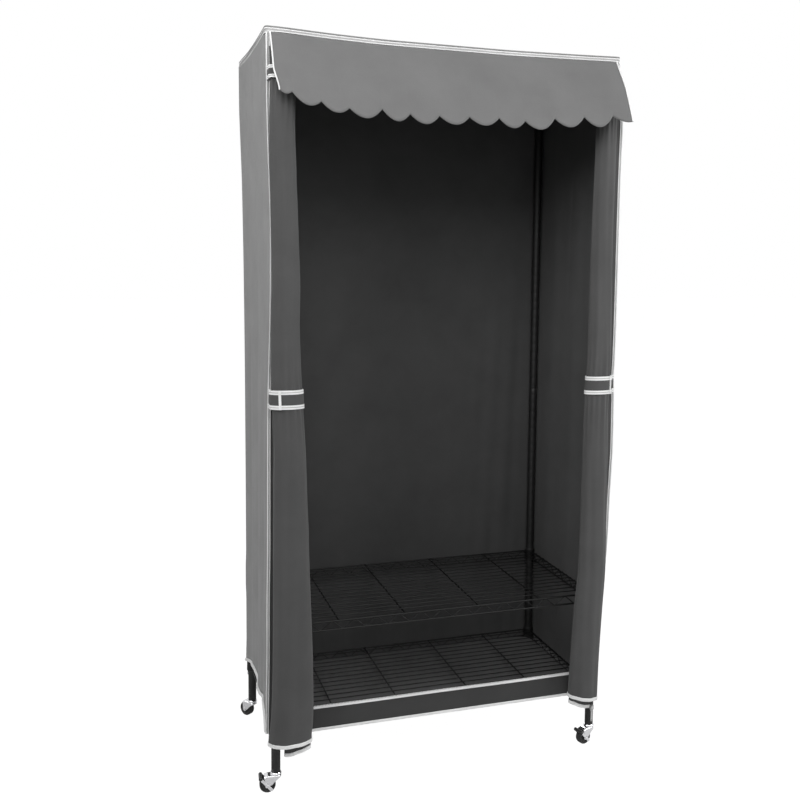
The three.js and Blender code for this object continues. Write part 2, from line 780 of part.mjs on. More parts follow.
// The zip slider in its own frame: z = 0 at the cloth's foot, the cloth in the plane y = 0.
function zipSlider() {
  const half = sliderWidth / 2;
  const slot = cloth / 2 + clearance;
  const outer = slot + sliderWall;
  const foot = sliderGrip - sliderHeight;
  const pinHeight = foot - earReach;
  const earIn = pullBarrelLength / 2 + clearance;
  const earOut = earIn + earThickness;
  const earFoot = pinHeight - zipPinDiameter / 2 - earThickness;
  const ear = zipPinDiameter / 2 + earThickness;
  const body = joined([
    block(-half, half, -outer, outer, foot, sliderGrip),
    block(earIn, earOut, -ear, ear, earFoot, foot + earThickness),
    block(-earOut, -earIn, -ear, ear, earFoot, foot + earThickness),
    rod(zipPinDiameter / 2, earIn + earOut, 8).rotateY(Math.PI / 2).translate(0, 0, pinHeight),
  ]);
  const over = half + cutOverrun;
  return body.subtract(solid(block(-over, over, -slot, slot, -clearance, sliderGrip + cutOverrun)));
}

// The pull about its pin, hanging down.
function zipPull() {
  const half = pullThickness / 2;
  const neck = pullBarrelLength / 2;
  const shoulder = -pullBarrelDiameter / 2 - earThickness;
  const eye = -pullLength + pullWidth / 2;
  const body = joined([
    rod(pullBarrelDiameter / 2, pullBarrelLength, 8).rotateY(Math.PI / 2),
    block(-neck, neck, -half, half, shoulder - half, 0),
    block(-pullWidth / 2, pullWidth / 2, -half, half, eye, shoulder),
    crossRod(pullWidth / 2, pullThickness, 10).translate(0, 0, eye),
  ]);
  const pinHole = rod(zipPinDiameter / 2 + clearance, pullBarrelLength + 2 * cutOverrun, 8);
  const eyeHole = crossRod(pullHoleDiameter / 2, pullThickness + 2 * cutOverrun, 8);
  return body
    .subtract(solid(pinHole.rotateY(Math.PI / 2)))
    .subtract(solid(eyeHole.translate(0, 0, eye)));
}

const wardrobe = new THREE.Group();

const shelfNames = ["bottom", "middle", "top"];
shelfNames.forEach((name, i) => {
  const mesh = piece(name + "_shelf", wireShelf(), blackEnamel);
  mesh.position.z = shelfTops[i];
  wardrobe.add(mesh);
});
const hanger = piece("hanging_rod", hangingRod(), blackEnamel);
hanger.position.z = topShelfTop;
wardrobe.add(hanger);

postPlaces.forEach(([name, sx, sy], i) => {
  const post = new THREE.Group();
  post.position.set((sx * rackWidth) / 2, (sy * rackDepth) / 2, 0);
  post.add(piece(name + "_lower_post", postTube(postBottom, lowerPostTop, false), blackEnamel));
  post.add(piece(name + "_upper_post", postTube(lowerPostTop + clearance, postTop, true), blackEnamel));
  post.add(piece(name + "_post_cap", postCap(), blackPlastic));
  shelfNames.forEach((shelf, k) => {
    const mesh = piece(name + "_" + shelf + "_sleeve", sleeve(), blackPlastic);
    mesh.position.z = shelfTops[k];
    post.add(mesh);
  });
  post.add(piece(name + "_caster_stem", casterStem(), chrome));

  const braked = sy < 0;
  const caster = new THREE.Group();
  caster.rotation.z = 2 * Math.PI * swivelTurns[i];
  caster.add(piece(name + "_caster_fork", casterFork(), chrome));
  const wheel = piece(name + "_wheel", casterWheel(), rubber);
  wheel.position.set(casterTrail, 0, axleHeight);
  const axle = piece(name + "_axle", casterAxle(braked), chrome);
  axle.position.copy(wheel.position);
  caster.add(wheel, axle);
  if (braked) {
    const lever = piece(name + "_brake_lever", brakeLever(), chrome);
    lever.position.copy(wheel.position);
    caster.add(lever);
  }
  post.add(caster);
  wardrobe.add(post);
});

wardrobe.add(piece("cover_roof", roof(), greyCloth));
wardrobe.add(piece("cover_back", backPanel(), darkCloth));
wardrobe.add(piece("front_skirt", frontSkirt(), darkCloth));
wardrobe.add(piece("valance", valance(), greyCloth));
for (const [name, side] of [
  ["left", -1],
  ["right", 1],
]) {
  wardrobe.add(piece("cover_" + name + "_side", sidePanel(side), greyCloth));
  wardrobe.add(piece(name + "_flap", rolledFlap(side), darkCloth));
  wardrobe.add(piece(name + "_middle_strap", strap(side, strapTops[0]), greyCloth));
  wardrobe.add(piece(name + "_upper_strap", strap(side, strapTops[1]), greyCloth));
}

// The slider clasps the foot of the right flap's rolled-in edge.
const edge = rollPoint(1, hemHeight, rollFacets[1] / rollSteps);
const beforeEdge = rollPoint(1, hemHeight, (rollFacets[1] - 1) / rollSteps);
const slider = new THREE.Group();
const run = edge.clone().sub(beforeEdge);
slider.position.copy(beforeEdge.clone().lerp(edge, 0.5)).setZ(hemHeight - innerDrop);
slider.rotation.z = Math.atan2(run.y, run.x);
slider.translateY(cloth / 2);
slider.add(piece("zip_slider", zipSlider(), zipMetal));
const pull = piece("zip_pull", zipPull(), zipMetal);
pull.position.z = sliderGrip - sliderHeight - earReach;
slider.add(pull);
wardrobe.add(slider);

// The origin is under the middle of the whole, on the floor.
const bounds = new THREE.Box3().setFromObject(wardrobe);
const model = new THREE.Group();
wardrobe.position.set(-(bounds.min.x + bounds.max.x) / 2, -(bounds.min.y + bounds.max.y) / 2, 0);
model.add(wardrobe);

export default model;
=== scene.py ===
import json
import math

import bpy
import numpy as np
from mathutils import Matrix, Vector


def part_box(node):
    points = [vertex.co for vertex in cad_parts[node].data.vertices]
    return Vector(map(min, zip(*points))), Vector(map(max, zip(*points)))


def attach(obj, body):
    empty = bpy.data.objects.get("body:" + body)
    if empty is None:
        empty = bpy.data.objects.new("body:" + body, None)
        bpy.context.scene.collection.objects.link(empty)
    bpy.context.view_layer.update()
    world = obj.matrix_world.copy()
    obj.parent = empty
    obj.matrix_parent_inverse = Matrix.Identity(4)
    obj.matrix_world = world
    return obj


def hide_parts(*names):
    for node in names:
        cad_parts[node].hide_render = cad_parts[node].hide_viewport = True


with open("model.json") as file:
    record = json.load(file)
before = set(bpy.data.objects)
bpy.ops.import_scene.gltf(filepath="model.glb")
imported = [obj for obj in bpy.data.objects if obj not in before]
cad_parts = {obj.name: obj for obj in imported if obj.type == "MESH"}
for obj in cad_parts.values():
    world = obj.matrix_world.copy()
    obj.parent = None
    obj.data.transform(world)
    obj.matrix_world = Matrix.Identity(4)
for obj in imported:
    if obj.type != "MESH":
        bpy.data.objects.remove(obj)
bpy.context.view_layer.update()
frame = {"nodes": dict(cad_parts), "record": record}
print("frame loaded")

# Lengths are millimetres, measured from the floor point midway between the four post axes.
metre = 1000.0
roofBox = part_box("cover_roof")
rackMiddle = np.array([(roofBox[0].x + roofBox[1].x) / 2, (roofBox[0].y + roofBox[1].y) / 2, 0.0])
rackSizes = {"width": 846.0, "depth": 396.0, "halfWidth": 445.0, "halfDepth": 220.0, "hem": 148.0}
shelfNames = ["bottom", "middle", "top"]
corners = {"front_left": (-1, -1), "front_right": (1, -1), "rear_left": (-1, 1), "rear_right": (1, 1)}
sides = {"left": -1, "right": 1}
postAxes = {name: (sx * rackSizes["width"] / 2, sy * rackSizes["depth"] / 2)
            for name, (sx, sy) in corners.items()}


def boxHeights(node):
    # foot and top of a CAD node
    return [corner.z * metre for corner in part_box(node)]


# colours and nodes

def hexColour(text):
    # sRGB hex to the linear colour that the shader sockets take
    srgb = np.array([int(text[k:k + 2], 16) for k in (1, 3, 5)]) / 255
    linear = np.where(srgb <= 0.04045, srgb / 12.92, ((srgb + 0.055) / 1.055) ** 2.4)
    return (*linear.tolist(), 1.0)


def addNode(material, kind, inputs=None, **settings):
    # one node with its settings; an input given as (node, output) is linked, anything else is its value
    node = material.node_tree.nodes.new(kind)
    for name, value in settings.items():
        setattr(node, name, value)
    for name, value in (inputs or {}).items():
        if isinstance(value, tuple) and isinstance(value[0], bpy.types.Node):
            material.node_tree.links.new(value[0].outputs[value[1]], node.inputs[name])
        else:
            node.inputs[name].default_value = value
    return node


def newMaterial(name):
    # a node material with nothing in it yet
    material = bpy.data.materials.new(name)
    material.use_nodes = True
    material.node_tree.nodes.clear()
    return material


def finishMaterial(material, shader, normal=None):
    # relief into the shader, and the shader into the output
    if normal:
        material.node_tree.links.new(normal.outputs["Normal"], shader.inputs["Normal"])
    addNode(material, "ShaderNodeOutputMaterial", {"Surface": (shader, "BSDF")})
    return material


def waveScale(period):
    # a band pattern of the Wave texture repeats every pi / 10 of its coordinate at scale 1
    return math.pi / 10 * metre / period


# widths of the patches of tone, the thick threads, the dust and the handling marks; depth of orange peel
patternSizes = {"mottle": 111.11, "slub": 2.381, "dust": 71.43, "marks": 3.846, "peelDepth": 0.12}


def clothMaterial(name, colour, shade, threadSpacing=1.6, relief=0.22, roughness=0.92, sheen=0.12):
    # plain-woven polyester: threads both ways in relief, a mottled tone from the dye, soft sheen; the
    # real threads lie 0.4 mm apart and are drawn coarser so that they show
    material = newMaterial(name)
    uv = addNode(material, "ShaderNodeUVMap", uv_map="cloth")
    objectCo = addNode(material, "ShaderNodeTexCoord")
    threads = [
        addNode(material, "ShaderNodeTexWave", {"Vector": (uv, "UV"), "Scale": waveScale(threadSpacing),
                                                "Distortion": 0.6, "Detail": 1.0, "Detail Scale": 2.0},
                wave_type="BANDS", bands_direction=way)
        for way in "XY"
    ]
    weave = addNode(material, "ShaderNodeMath", {0: (threads[0], "Fac"), 1: (threads[1], "Fac")},
                    operation="ADD")
    mottle = addNode(material, "ShaderNodeTexNoise",
                     {"Vector": (objectCo, "Object"), "Scale": metre / patternSizes["mottle"],
                      "Detail": 5.0, "Roughness": 0.6})
    slub = addNode(material, "ShaderNodeTexNoise",
                   {"Vector": (uv, "UV"), "Scale": metre / patternSizes["slub"], "Detail": 2.0,
                    "Roughness": 0.5})
    blend = addNode(material, "ShaderNodeMath", {0: (mottle, "Fac"), 1: 0.7}, operation="MULTIPLY")
    tone = addNode(material, "ShaderNodeMath", {0: (slub, "Fac"), 1: 0.3, 2: (blend, "Value")},
                   operation="MULTIPLY_ADD")
    ramp = addNode(material, "ShaderNodeMapRange",
                   {"Value": (tone, "Value"), "From Min": 0.3, "From Max": 0.7})
    mix = addNode(material, "ShaderNodeMix",
                  {0: (ramp, "Result"), 6: hexColour(shade), 7: hexColour(colour)},
                  data_type="RGBA")
    bump = addNode(material, "ShaderNodeBump",
                   {"Height": (weave, "Value"), "Distance": relief / metre, "Strength": 0.5})
    shader = addNode(material, "ShaderNodeBsdfPrincipled",
                     {"Base Color": (mix, 2), "Roughness": roughness, "Specular IOR Level": 0.25,
                      "Sheen Weight": sheen, "Sheen Roughness": 0.5})
    return finishMaterial(material, shader, bump)


def enamelMaterial(name, colour, shade, roughness, peel, gloss=0.5):
    # a sprayed and baked coat, or a moulded skin: faint orange peel, slightly dusty tone, soft highlight
    material = newMaterial(name)
    objectCo = addNode(material, "ShaderNodeTexCoord")
    peelNoise = addNode(material, "ShaderNodeTexNoise",
                        {"Vector": (objectCo, "Object"), "Scale": metre / peel, "Detail": 2.0})
    dust = addNode(material, "ShaderNodeTexNoise",
                   {"Vector": (objectCo, "Object"), "Scale": metre / patternSizes["dust"],
                    "Detail": 4.0, "Roughness": 0.65})
    mix = addNode(material, "ShaderNodeMix", {0: (dust, "Fac"), 6: hexColour(shade), 7: hexColour(colour)},
                  data_type="RGBA")
    rough = addNode(material, "ShaderNodeMapRange",
                    {"Value": (dust, "Fac"), "To Min": roughness - 0.06, "To Max": roughness + 0.08})
    bump = addNode(material, "ShaderNodeBump",
                   {"Height": (peelNoise, "Fac"), "Distance": patternSizes["peelDepth"] / metre,
                    "Strength": 0.35})
    shader = addNode(material, "ShaderNodeBsdfPrincipled",
                     {"Base Color": (mix, 2), "Roughness": (rough, "Result"),
                      "Specular IOR Level": gloss})
    return finishMaterial(material, shader, bump)


def chromeMaterial(name, colour, roughness):
    # bright nickel-chrome plate on pressed steel: a mirror with a faint cloud of handling marks
    material = newMaterial(name)
    objectCo = addNode(material, "ShaderNodeTexCoord")
    marks = addNode(material, "ShaderNodeTexNoise",
                    {"Vector": (objectCo, "Object"), "Scale": metre / patternSizes["marks"],
                     "Detail": 4.0, "Roughness": 0.6})
    rough = addNode(material, "ShaderNodeMapRange",
                    {"Value": (marks, "Fac"), "To Min": roughness * 0.6, "To Max": roughness * 1.8})
    shader = addNode(material, "ShaderNodeBsdfPrincipled",
                     {"Base Color": hexColour(colour), "Metallic": 1.0, "Roughness": (rough, "Result")})
    return finishMaterial(material, shader)


cloths = {
    # outer sides of the dyed cloth, and the dark coated inside
    "side": clothMaterial("polyester_cloth_grey", "#8c8c8c", "#7e7e7e"),
    "valance": clothMaterial("polyester_cloth_valance", "#727272", "#686868"),
    "flap": clothMaterial("polyester_cloth_slate", "#4f4f4f", "#464646"),
    "skirt": clothMaterial("polyester_cloth_charcoal", "#3c3c3c", "#353535"),
    "inside": clothMaterial("coated_cloth_inside", "#4b4b4b", "#424242", relief=0.12, sheen=0.04),
    "sideInside": clothMaterial("coated_cloth_side", "#545454", "#4b4b4b", relief=0.12, sheen=0.04),
    # a lighter copy of the inside coating for the floor panel under the bottom shelf: painted light
    "floor": clothMaterial("coated_cloth_floor_lightened", "#646464", "#595959", relief=0.12, sheen=0.04),
    "tape": clothMaterial("woven_tape_white", "#f0f0f0", "#dedede", threadSpacing=1.2, relief=0.25,
                          sheen=0.05),
    # grey tape for the roof's band and the straps' stitch lines, also used as painted shade in the corner
    # strips' middle stripe
    "greyTapeAndShade": clothMaterial("woven_tape_grey_and_painted_shade", "#b0b0b0", "#9c9c9c", threadSpacing=1.2),
}
blackTube = enamelMaterial("powder_coat_tube", "#202020", "#171717", 0.5, 1.1, gloss=0.35)
blackWire = enamelMaterial("epoxy_coat_wire", "#090909", "#060606", 0.5, 0.9, gloss=0.3)
blackPlastic = enamelMaterial("moulded_nylon_black", "#202020", "#181818", 0.5, 0.7)
wheelRubber = enamelMaterial("moulded_tread_black", "#181818", "#101010", 0.62, 0.8)
chromePlate = chromeMaterial("chrome_plate", "#dadadc", 0.1)
zipAlloy = chromeMaterial("die_cast_zinc", "#b4b4b4", 0.28)
zipNylon = enamelMaterial("moulded_nylon_white", "#ececec", "#dcdcdc", 0.45, 0.7)
print("materials made")


# surfaces on a grid, and pieces made of them

def unit(vectors):
    # each vector divided by its length, which is kept above nothing
    return vectors / np.maximum(np.linalg.norm(vectors, axis=-1, keepdims=True), 1e-12)


def smooth(t):
    # an ease from 0 to 1: three times t squared less twice t cubed
    t = np.clip(t, 0.0, 1.0)
    return t * t * (3 - 2 * t)


def readTable(where, table):
    # the value at a place on a smooth line through the rows of a table of (place, value): cubic pieces
    # whose slope at each row is the harmonic mean of its two sides' slopes, or none at a peak
    places, values = np.array(sorted(table), float).T
    rise = np.diff(values) / np.diff(places)
    product = rise[1:] * rise[:-1]
    total = np.where(product > 0, rise[1:] + rise[:-1], 1.0)
    slope = np.concatenate([rise[:1], np.where(product > 0, 2 * product / total, 0.0), rise[-1:]])
    step = np.clip(np.searchsorted(places, where, side="right") - 1, 0, len(rise) - 1)
    width = places[step + 1] - places[step]
    t = np.clip((where - places[step]) / width, 0, 1)
    left = (1 - t) ** 2 * ((1 + 2 * t) * values[step] + t * width * slope[step])
    return left + t ** 2 * ((3 - 2 * t) * values[step + 1] - (1 - t) * width * slope[step + 1])


def gridOf(countU, countV):
    # u runs along the first axis and v along the second, both from 0 to 1
    return np.meshgrid(np.linspace(0, 1, countU), np.linspace(0, 1, countV), indexing="ij")


def stacked(x, y, z):
    # points from three rows of places, where a single number serves for all
    return np.stack(np.broadcast_arrays(x, y, z), axis=-1).astype(float)


def arcLengths(points, axis):
    # running length of the grid's own lines along one axis
    steps = np.linalg.norm(np.diff(points, axis=axis), axis=-1)
    start = np.zeros_like(np.take(steps, [0], axis=axis))
    return np.concatenate([start, np.cumsum(steps, axis=axis)], axis=axis)


def patch(points, closedU=False, closedV=False, slot=0, facing=None):
    # quads between neighbouring grid points; a closed way joins its last line to its first, and the ends
    # of a tube get one many-sided face each; UV is the length along the grid's lines; the faces look the
    # way that facing says, or else away from the middle; slot is the place of its material in the piece
    full = np.concatenate([points, points[:1]], axis=0) if closedU else points
    full = np.concatenate([full, full[:, :1]], axis=1) if closedV else full
    uv = np.stack([arcLengths(full, 0), arcLengths(full, 1)], axis=-1) / metre
    countU, countV = points.shape[:2]
    i, j = np.meshgrid(np.arange(full.shape[0] - 1), np.arange(full.shape[1] - 1), indexing="ij")
    ringI = np.stack([i, i + 1, i + 1, i], axis=-1).reshape(-1, 4)
    ringJ = np.stack([j, j, j + 1, j + 1], axis=-1).reshape(-1, 4)
    faces = (ringI % countU) * countV + ringJ % countV
    corner = uv[ringI, ringJ]
    flat = points.reshape(-1, 3)
    caps = []
    if closedU and not closedV:
        line = np.arange(countU) * countV
        caps = [line[::-1], line + countV - 1]
    if closedV and not closedU:
        line = np.arange(countV)
        caps = [line, (line + (countU - 1) * countV)[::-1]]
    a, b, c, d = (flat[faces[:, k]] for k in range(4))
    if facing is None:
        arm = a - flat.mean(0)
        turned = ((np.cross(b - a, c - a) + np.cross(c - a, d - a)) * arm).sum() < 0
    else:
        turned = (np.cross(c - a, d - b) @ np.asarray(facing, float)).sum() < 0
    if turned:
        faces, corner = faces[:, ::-1], corner[:, ::-1]
        caps = [cap[::-1] for cap in caps]
    return {"points": flat, "faces": faces, "uv": corner, "caps": caps, "slot": slot}


def moved(part, turn, centre):
    # a patch turned about the upright line through the origin, then carried to centre
    cosine, sine = math.cos(turn), math.sin(turn)
    x, y, z = part["points"].T
    return {**part, "points": stacked(cosine * x - sine * y + centre[0], sine * x + cosine * y + centre[1],
                                      z + centre[2])}


def makePiece(name, patches, materials, replaces=(), body="rack", crease=40.0):
    # several patches in one mesh, placed in the frame in metres; slot is the place of a patch's material
    # among materials, and an edge whose faces meet at more degrees than crease is drawn sharp
    offset, points, faces, uvs, slots = 0, [], [], [], []
    for part in patches:
        points.append(part["points"])
        faces += (part["faces"] + offset).tolist()
        uvs.append(part["uv"].reshape(-1, 2))
        slots += np.broadcast_to(part["slot"], len(part["faces"])).tolist()
        for cap in part["caps"]:
            faces.append((cap + offset).tolist())
            uvs.append(np.zeros((len(cap), 2)))
            slots.append(int(np.min(part["slot"])))
        offset += len(part["points"])
    mesh = bpy.data.meshes.new(name)
    mesh.from_pydata((np.concatenate(points) / metre + rackMiddle).tolist(), [], faces)
    layer = mesh.uv_layers.new(name="cloth")
    layer.data.foreach_set("uv", np.concatenate(uvs).astype(np.float32).ravel())
    for material in materials:
        mesh.materials.append(material)
    mesh.polygons.foreach_set("material_index", np.array(slots, np.int32))
    mesh.shade_smooth()
    mesh.set_sharp_from_angle(angle=math.radians(crease))
    mesh.update()
    piece = bpy.data.objects.new(name, mesh)
    bpy.context.scene.collection.objects.link(piece)
    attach(piece, body)
    if replaces:
        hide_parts(*replaces)
    return piece


def thicken(piece, thickness, innerSlot=0):
    # a sheet gets its thickness behind its face, with a rim; the inner face can take a later material
    solid = piece.modifiers.new("thickness", "SOLIDIFY")
    solid.thickness = thickness / metre
    solid.offset = -1
    solid.material_offset = innerSlot
    solid.material_offset_rim = 0
    return piece


def swept(path, profile, across, closed=False, slot=0):
    # point = path + profile x * across + profile y * (tangent x across), for one closed profile or one
    # profile for each point of the path
    path = np.asarray(path, float)
    before = np.roll(path, 1, axis=0) if closed else np.concatenate([path[:1], path[:-1]])
    after = np.roll(path, -1, axis=0) if closed else np.concatenate([path[1:], path[-1:]])
    tangent = unit(after - before)
    across = np.broadcast_to(np.asarray(across, float), path.shape)
    across = unit(across - (across * tangent).sum(-1, keepdims=True) * tangent)
    lift = np.cross(tangent, across)
    profile = np.broadcast_to(profile, (len(path), *np.shape(profile)[-2:]))
    points = path[:, None] + profile[..., :1] * across[:, None] + profile[..., 1:] * lift[:, None]
    return patch(points, closedU=closed, closedV=True, slot=slot)


def tube(path, radius, count, across, closed=False, slot=0):
    # a round section carried along a path
    angle = 2 * np.pi * np.arange(count) / count
    return swept(path, radius * np.stack([np.cos(angle), np.sin(angle)], axis=-1), across, closed, slot)


def turnedBody(profile, count, centre, closed=False, slot=0, axis="z"):
    # a profile of (radius, height) turned round a line through centre that lies along z, or along y
    angle = 2 * np.pi * np.arange(count) / count
    radius, height = np.asarray(profile, float).T
    a = radius[None, :] * np.cos(angle)[:, None]
    b = radius[None, :] * np.sin(angle)[:, None]
    if axis == "z":
        points = stacked(centre[0] + a, centre[1] + b, height[None, :])
    else:
        points = stacked(centre[0] + a, height[None, :], centre[1] + b)
    return patch(points, closedU=True, closedV=closed, slot=slot)


def plate(outline, y0, y1, bevel):
    # an outline of (x, z), carried from y0 to y1 with its corners eased by one bevel
    outline = np.asarray(outline, float)
    ahead = unit(np.roll(outline, -1, axis=0) - np.roll(outline, 1, axis=0))
    area = (outline[:, 0] * np.roll(outline[:, 1], -1) - np.roll(outline[:, 0], -1) * outline[:, 1]).sum()
    inward = np.stack([-ahead[:, 1], ahead[:, 0]], axis=-1) * (1 if area > 0 else -1)
    eased = outline + bevel * inward
    rows = [(eased, y0), (outline, y0 + bevel), (outline, y1 - bevel), (eased, y1)]
    points = np.stack([stacked(row[:, 0], y, row[:, 1]) for row, y in rows], axis=1)
    return patch(points, closedU=True)


# camera, where the photograph was taken from

cameraSizes = {"place": (-788.317, -2393.495, 1279.696), "yaw": 0.310686, "pitch": -0.089003,
               "roll": 0.010644, "sensor": 36.0, "reach": 50000.0,
               # in pixels of the photograph
               "focal": 949.780, "centre": (413.721, 347.548), "frame": 800}


def makeCamera(sizes):
    # yaw, pitch and roll turn its axes; the lens and the shifts follow from the pixels
    yaw, pitch, roll = sizes["yaw"], sizes["pitch"], sizes["roll"]
    ahead = Vector((math.sin(yaw) * math.cos(pitch), math.cos(yaw) * math.cos(pitch), math.sin(pitch)))
    level = Vector((math.cos(yaw), -math.sin(yaw), 0))
    upright = level.cross(ahead)
    right = level * math.cos(roll) + upright * math.sin(roll)
    up = upright * math.cos(roll) - level * math.sin(roll)
    camera = bpy.data.objects.new("camera", bpy.data.cameras.new("camera"))
    turn = Matrix((right, up, -ahead)).transposed().to_4x4()
    place = Vector(sizes["place"]) / metre + Vector(rackMiddle)
    camera.matrix_world = Matrix.Translation(place) @ turn
    width = sizes["frame"]
    camera.data.sensor_width = sizes["sensor"]
    camera.data.lens = sizes["focal"] * sizes["sensor"] / width
    camera.data.shift_x = -(sizes["centre"][0] - width / 2) / width
    camera.data.shift_y = (sizes["centre"][1] - width / 2) / width
    camera.data.clip_end = sizes["reach"] / metre
    bpy.context.scene.collection.objects.link(camera)
    bpy.context.scene.camera = camera


makeCamera(cameraSizes)
print("camera placed")


# posts

postSizes = {"radius": 11.0, "grooveEvery": 25.4, "grooveWidth": 1.6, "grooveDepth": 0.13, "edge": 0.5,
             # where a groove's walls start and end, in halves of its width
             "grooveShares": (-1, -0.3, 0.3, 1), "spigotLength": 40.0, "spigotRadius": 9.5, "count": 28}


def ringedPost(node, centre, sizes):
    # a tube whose radius dips at each ring: r(z) falls by one depth over one groove width; an upper length
    # has a thinner spigot that stands in the lower one
    spigot = sizes["spigotLength"] if node.endswith("upper_post") else 0.0
    low, top = boxHeights(node)
    bottom = low + spigot
    width, depth, edge = sizes["grooveWidth"], sizes["grooveDepth"], sizes["edge"]
    first = math.ceil((bottom + width) / sizes["grooveEvery"])
    last = math.floor((top - width) / sizes["grooveEvery"])
    rings = np.arange(first, last + 1) * sizes["grooveEvery"]
    heights = (rings[:, None] + width / 2 * np.array(sizes["grooveShares"])).ravel()
    depths = np.tile([0.0, depth, depth, 0.0], len(rings))
    heights = np.concatenate([[bottom, bottom + edge], heights, [top - edge, top]])
    depths = np.concatenate([[edge, 0.0], depths, [0.0, edge]])
    parts = [turnedBody(np.stack([sizes["radius"] - depths, heights], axis=-1), sizes["count"], centre)]
    if spigot:
        inner = [[sizes["spigotRadius"], low], [sizes["spigotRadius"], bottom]]
        parts.append(turnedBody(inner, sizes["count"], centre))
    makePiece(node + "_ringed", parts, [blackTube], [node], crease=50.0)


for name, centre in postAxes.items():
    for part in ("lower", "upper"):
        ringedPost(f"{name}_{part}_post", centre, postSizes)
print("posts made")


# wire shelves, their sleeves, the caps and the hanging rod

shelfSizes = {"matWire": 2.8, "crossWire": 3.6, "frameWire": 4.6, "zigzagWire": 2.4, "matPitch": 25.4,
              "crossPlaces": (-268.0, -98.0, 98.0, 268.0), "rail": 0.4, "endInset": 12.0,
              "trussPitch": 57.0, "trussHeight": 21.5, "peakShare": 0.985, "stepsInPitch": 16,
              "collarInner": 12.7, "collarWall": 1.4, "collarFlare": 0.6, "collarEdge": 1.2,
              "collarProud": 4.0, "thinCount": 8, "frameCount": 10, "collarCount": 28}


def zigzagPath(span, low, high, sizes):
    # straight legs between the two frame wires, with rounded peaks: the arcsine of a cosine kept under 1
    count = int(round(span / sizes["trussPitch"])) * sizes["stepsInPitch"] + 1
    along = np.linspace(-span / 2, span / 2, count)
    wave = np.arcsin(sizes["peakShare"] * np.cos(2 * math.pi * along / sizes["trussPitch"]))
    return along, low + (high - low) * (wave / np.abs(wave).max() + 1) / 2


def wireShelf(name, sizes):
    # mat wires on cross wires, in a frame of two wires joined by a zigzag, with a collar at each post
    halfX, halfY = rackSizes["width"] / 2, rackSizes["depth"] / 2
    endX, endY = halfX - sizes["endInset"], halfY - sizes["endInset"]
    mat, cross, rim, zigzag = (sizes[k] / 2 for k in ("matWire", "crossWire", "frameWire", "zigzagWire"))
    crown = boxHeights(f"{name}_shelf")[1]
    upper = crown - 2 * mat - rim
    lower = upper - sizes["trussHeight"]
    parts = []

    def wire(x, y, z, radius, count=sizes["thinCount"]):
        # along x where x is a row of places, and otherwise along y
        parts.append(tube(stacked(x, y, z), radius, count, (0, 1, 0) if np.ndim(x) else (1, 0, 0)))

    for y in np.linspace(-halfY, halfY, int(round(rackSizes["depth"] / sizes["matPitch"])) + 1)[1:-1]:
        wire((-halfX, halfX), y, crown - sizes["rail"] - mat, mat)
    for x in sizes["crossPlaces"]:
        wire(x, (-halfY, halfY), crown - 2 * mat - cross, cross)
    for side in (-1, 1):
        for z in (upper, lower):
            wire((-endX, endX), side * halfY, z, rim, sizes["frameCount"])
            wire(side * halfX, (-endY, endY), z, rim, sizes["frameCount"])
        along, z = zigzagPath(2 * endX, lower, upper, sizes)
        wire(along, side * halfY, z, zigzag)
        along, z = zigzagPath(2 * endY, lower, upper, sizes)
        wire(side * halfX, along, z, zigzag)
    low, high = boxHeights(f"front_left_{name}_sleeve")
    foot, head = low + sizes["collarProud"], high - sizes["collarProud"]
    inner, outer = sizes["collarInner"], sizes["collarInner"] + sizes["collarWall"]
    flare, edge = sizes["collarFlare"], sizes["collarEdge"]
    profile = [[inner + flare, foot], [outer + flare, foot], [outer + flare, foot + edge],
               [outer, head - edge], [outer, head], [inner, head]]
    parts += [turnedBody(profile, sizes["collarCount"], centre, closed=True) for centre in postAxes.values()]
    makePiece(f"{name}_shelf_wires", parts, [blackWire], [f"{name}_shelf"], crease=50.0)


for name in shelfNames:
    wireShelf(name, shelfSizes)
print("shelves made")

sleeveSizes = {"inner": 11.2, "foot": 12.9, "waist": 12.5, "crown": 12.2, "edge": 1.2,
               "bead": 13.1, "beadFoot": 0.6, "beadHeight": 1.6, "count": 28}
capSizes = {"plug": 9.5, "ease": 0.5, "lead": 1.0, "count": 28,
            # the disc's outline as (radius, distance under its top)
            "disc": [(9.5, 4.0), (11.0, 4.0), (11.2, 3.0), (10.4, 1.0), (8.0, 0.2), (3.0, 0.0)]}


def roundSleeve(node, centre, sizes):
    # a cone with a bead round its foot
    low, high = boxHeights(node)
    profile = [[sizes["inner"], low], [sizes["foot"], low], [sizes["bead"], low + sizes["beadFoot"]],
               [sizes["bead"], low + sizes["beadHeight"]], [sizes["waist"], high - sizes["edge"]],
               [sizes["crown"], high], [sizes["inner"], high]]
    makePiece(node + "_round", [turnedBody(profile, sizes["count"], centre, closed=True)], [blackPlastic],
              [node])


def domedCap(node, centre, sizes):
    # a plug under a domed disc
    low, high = boxHeights(node)
    profile = [[sizes["plug"] - sizes["ease"], low], [sizes["plug"], low + sizes["lead"]]]
    profile += [[radius, high - under] for radius, under in sizes["disc"]]
    makePiece(node + "_domed", [turnedBody(profile, sizes["count"], centre)], [blackPlastic],
              [node])


for name, centre in postAxes.items():
    for shelf in shelfNames:
        roundSleeve(f"{name}_{shelf}_sleeve", centre, sleeveSizes)
    domedCap(f"{name}_post_cap", centre, capSizes)
print("sleeves and caps made")

rodSizes = {"radius": 9.5, "hookWidth": 16.0, "plate": 2.5, "throat": 4.6, "lip": 4.0, "corner": 0.8,
            "bevel": 0.4, "count": 32}


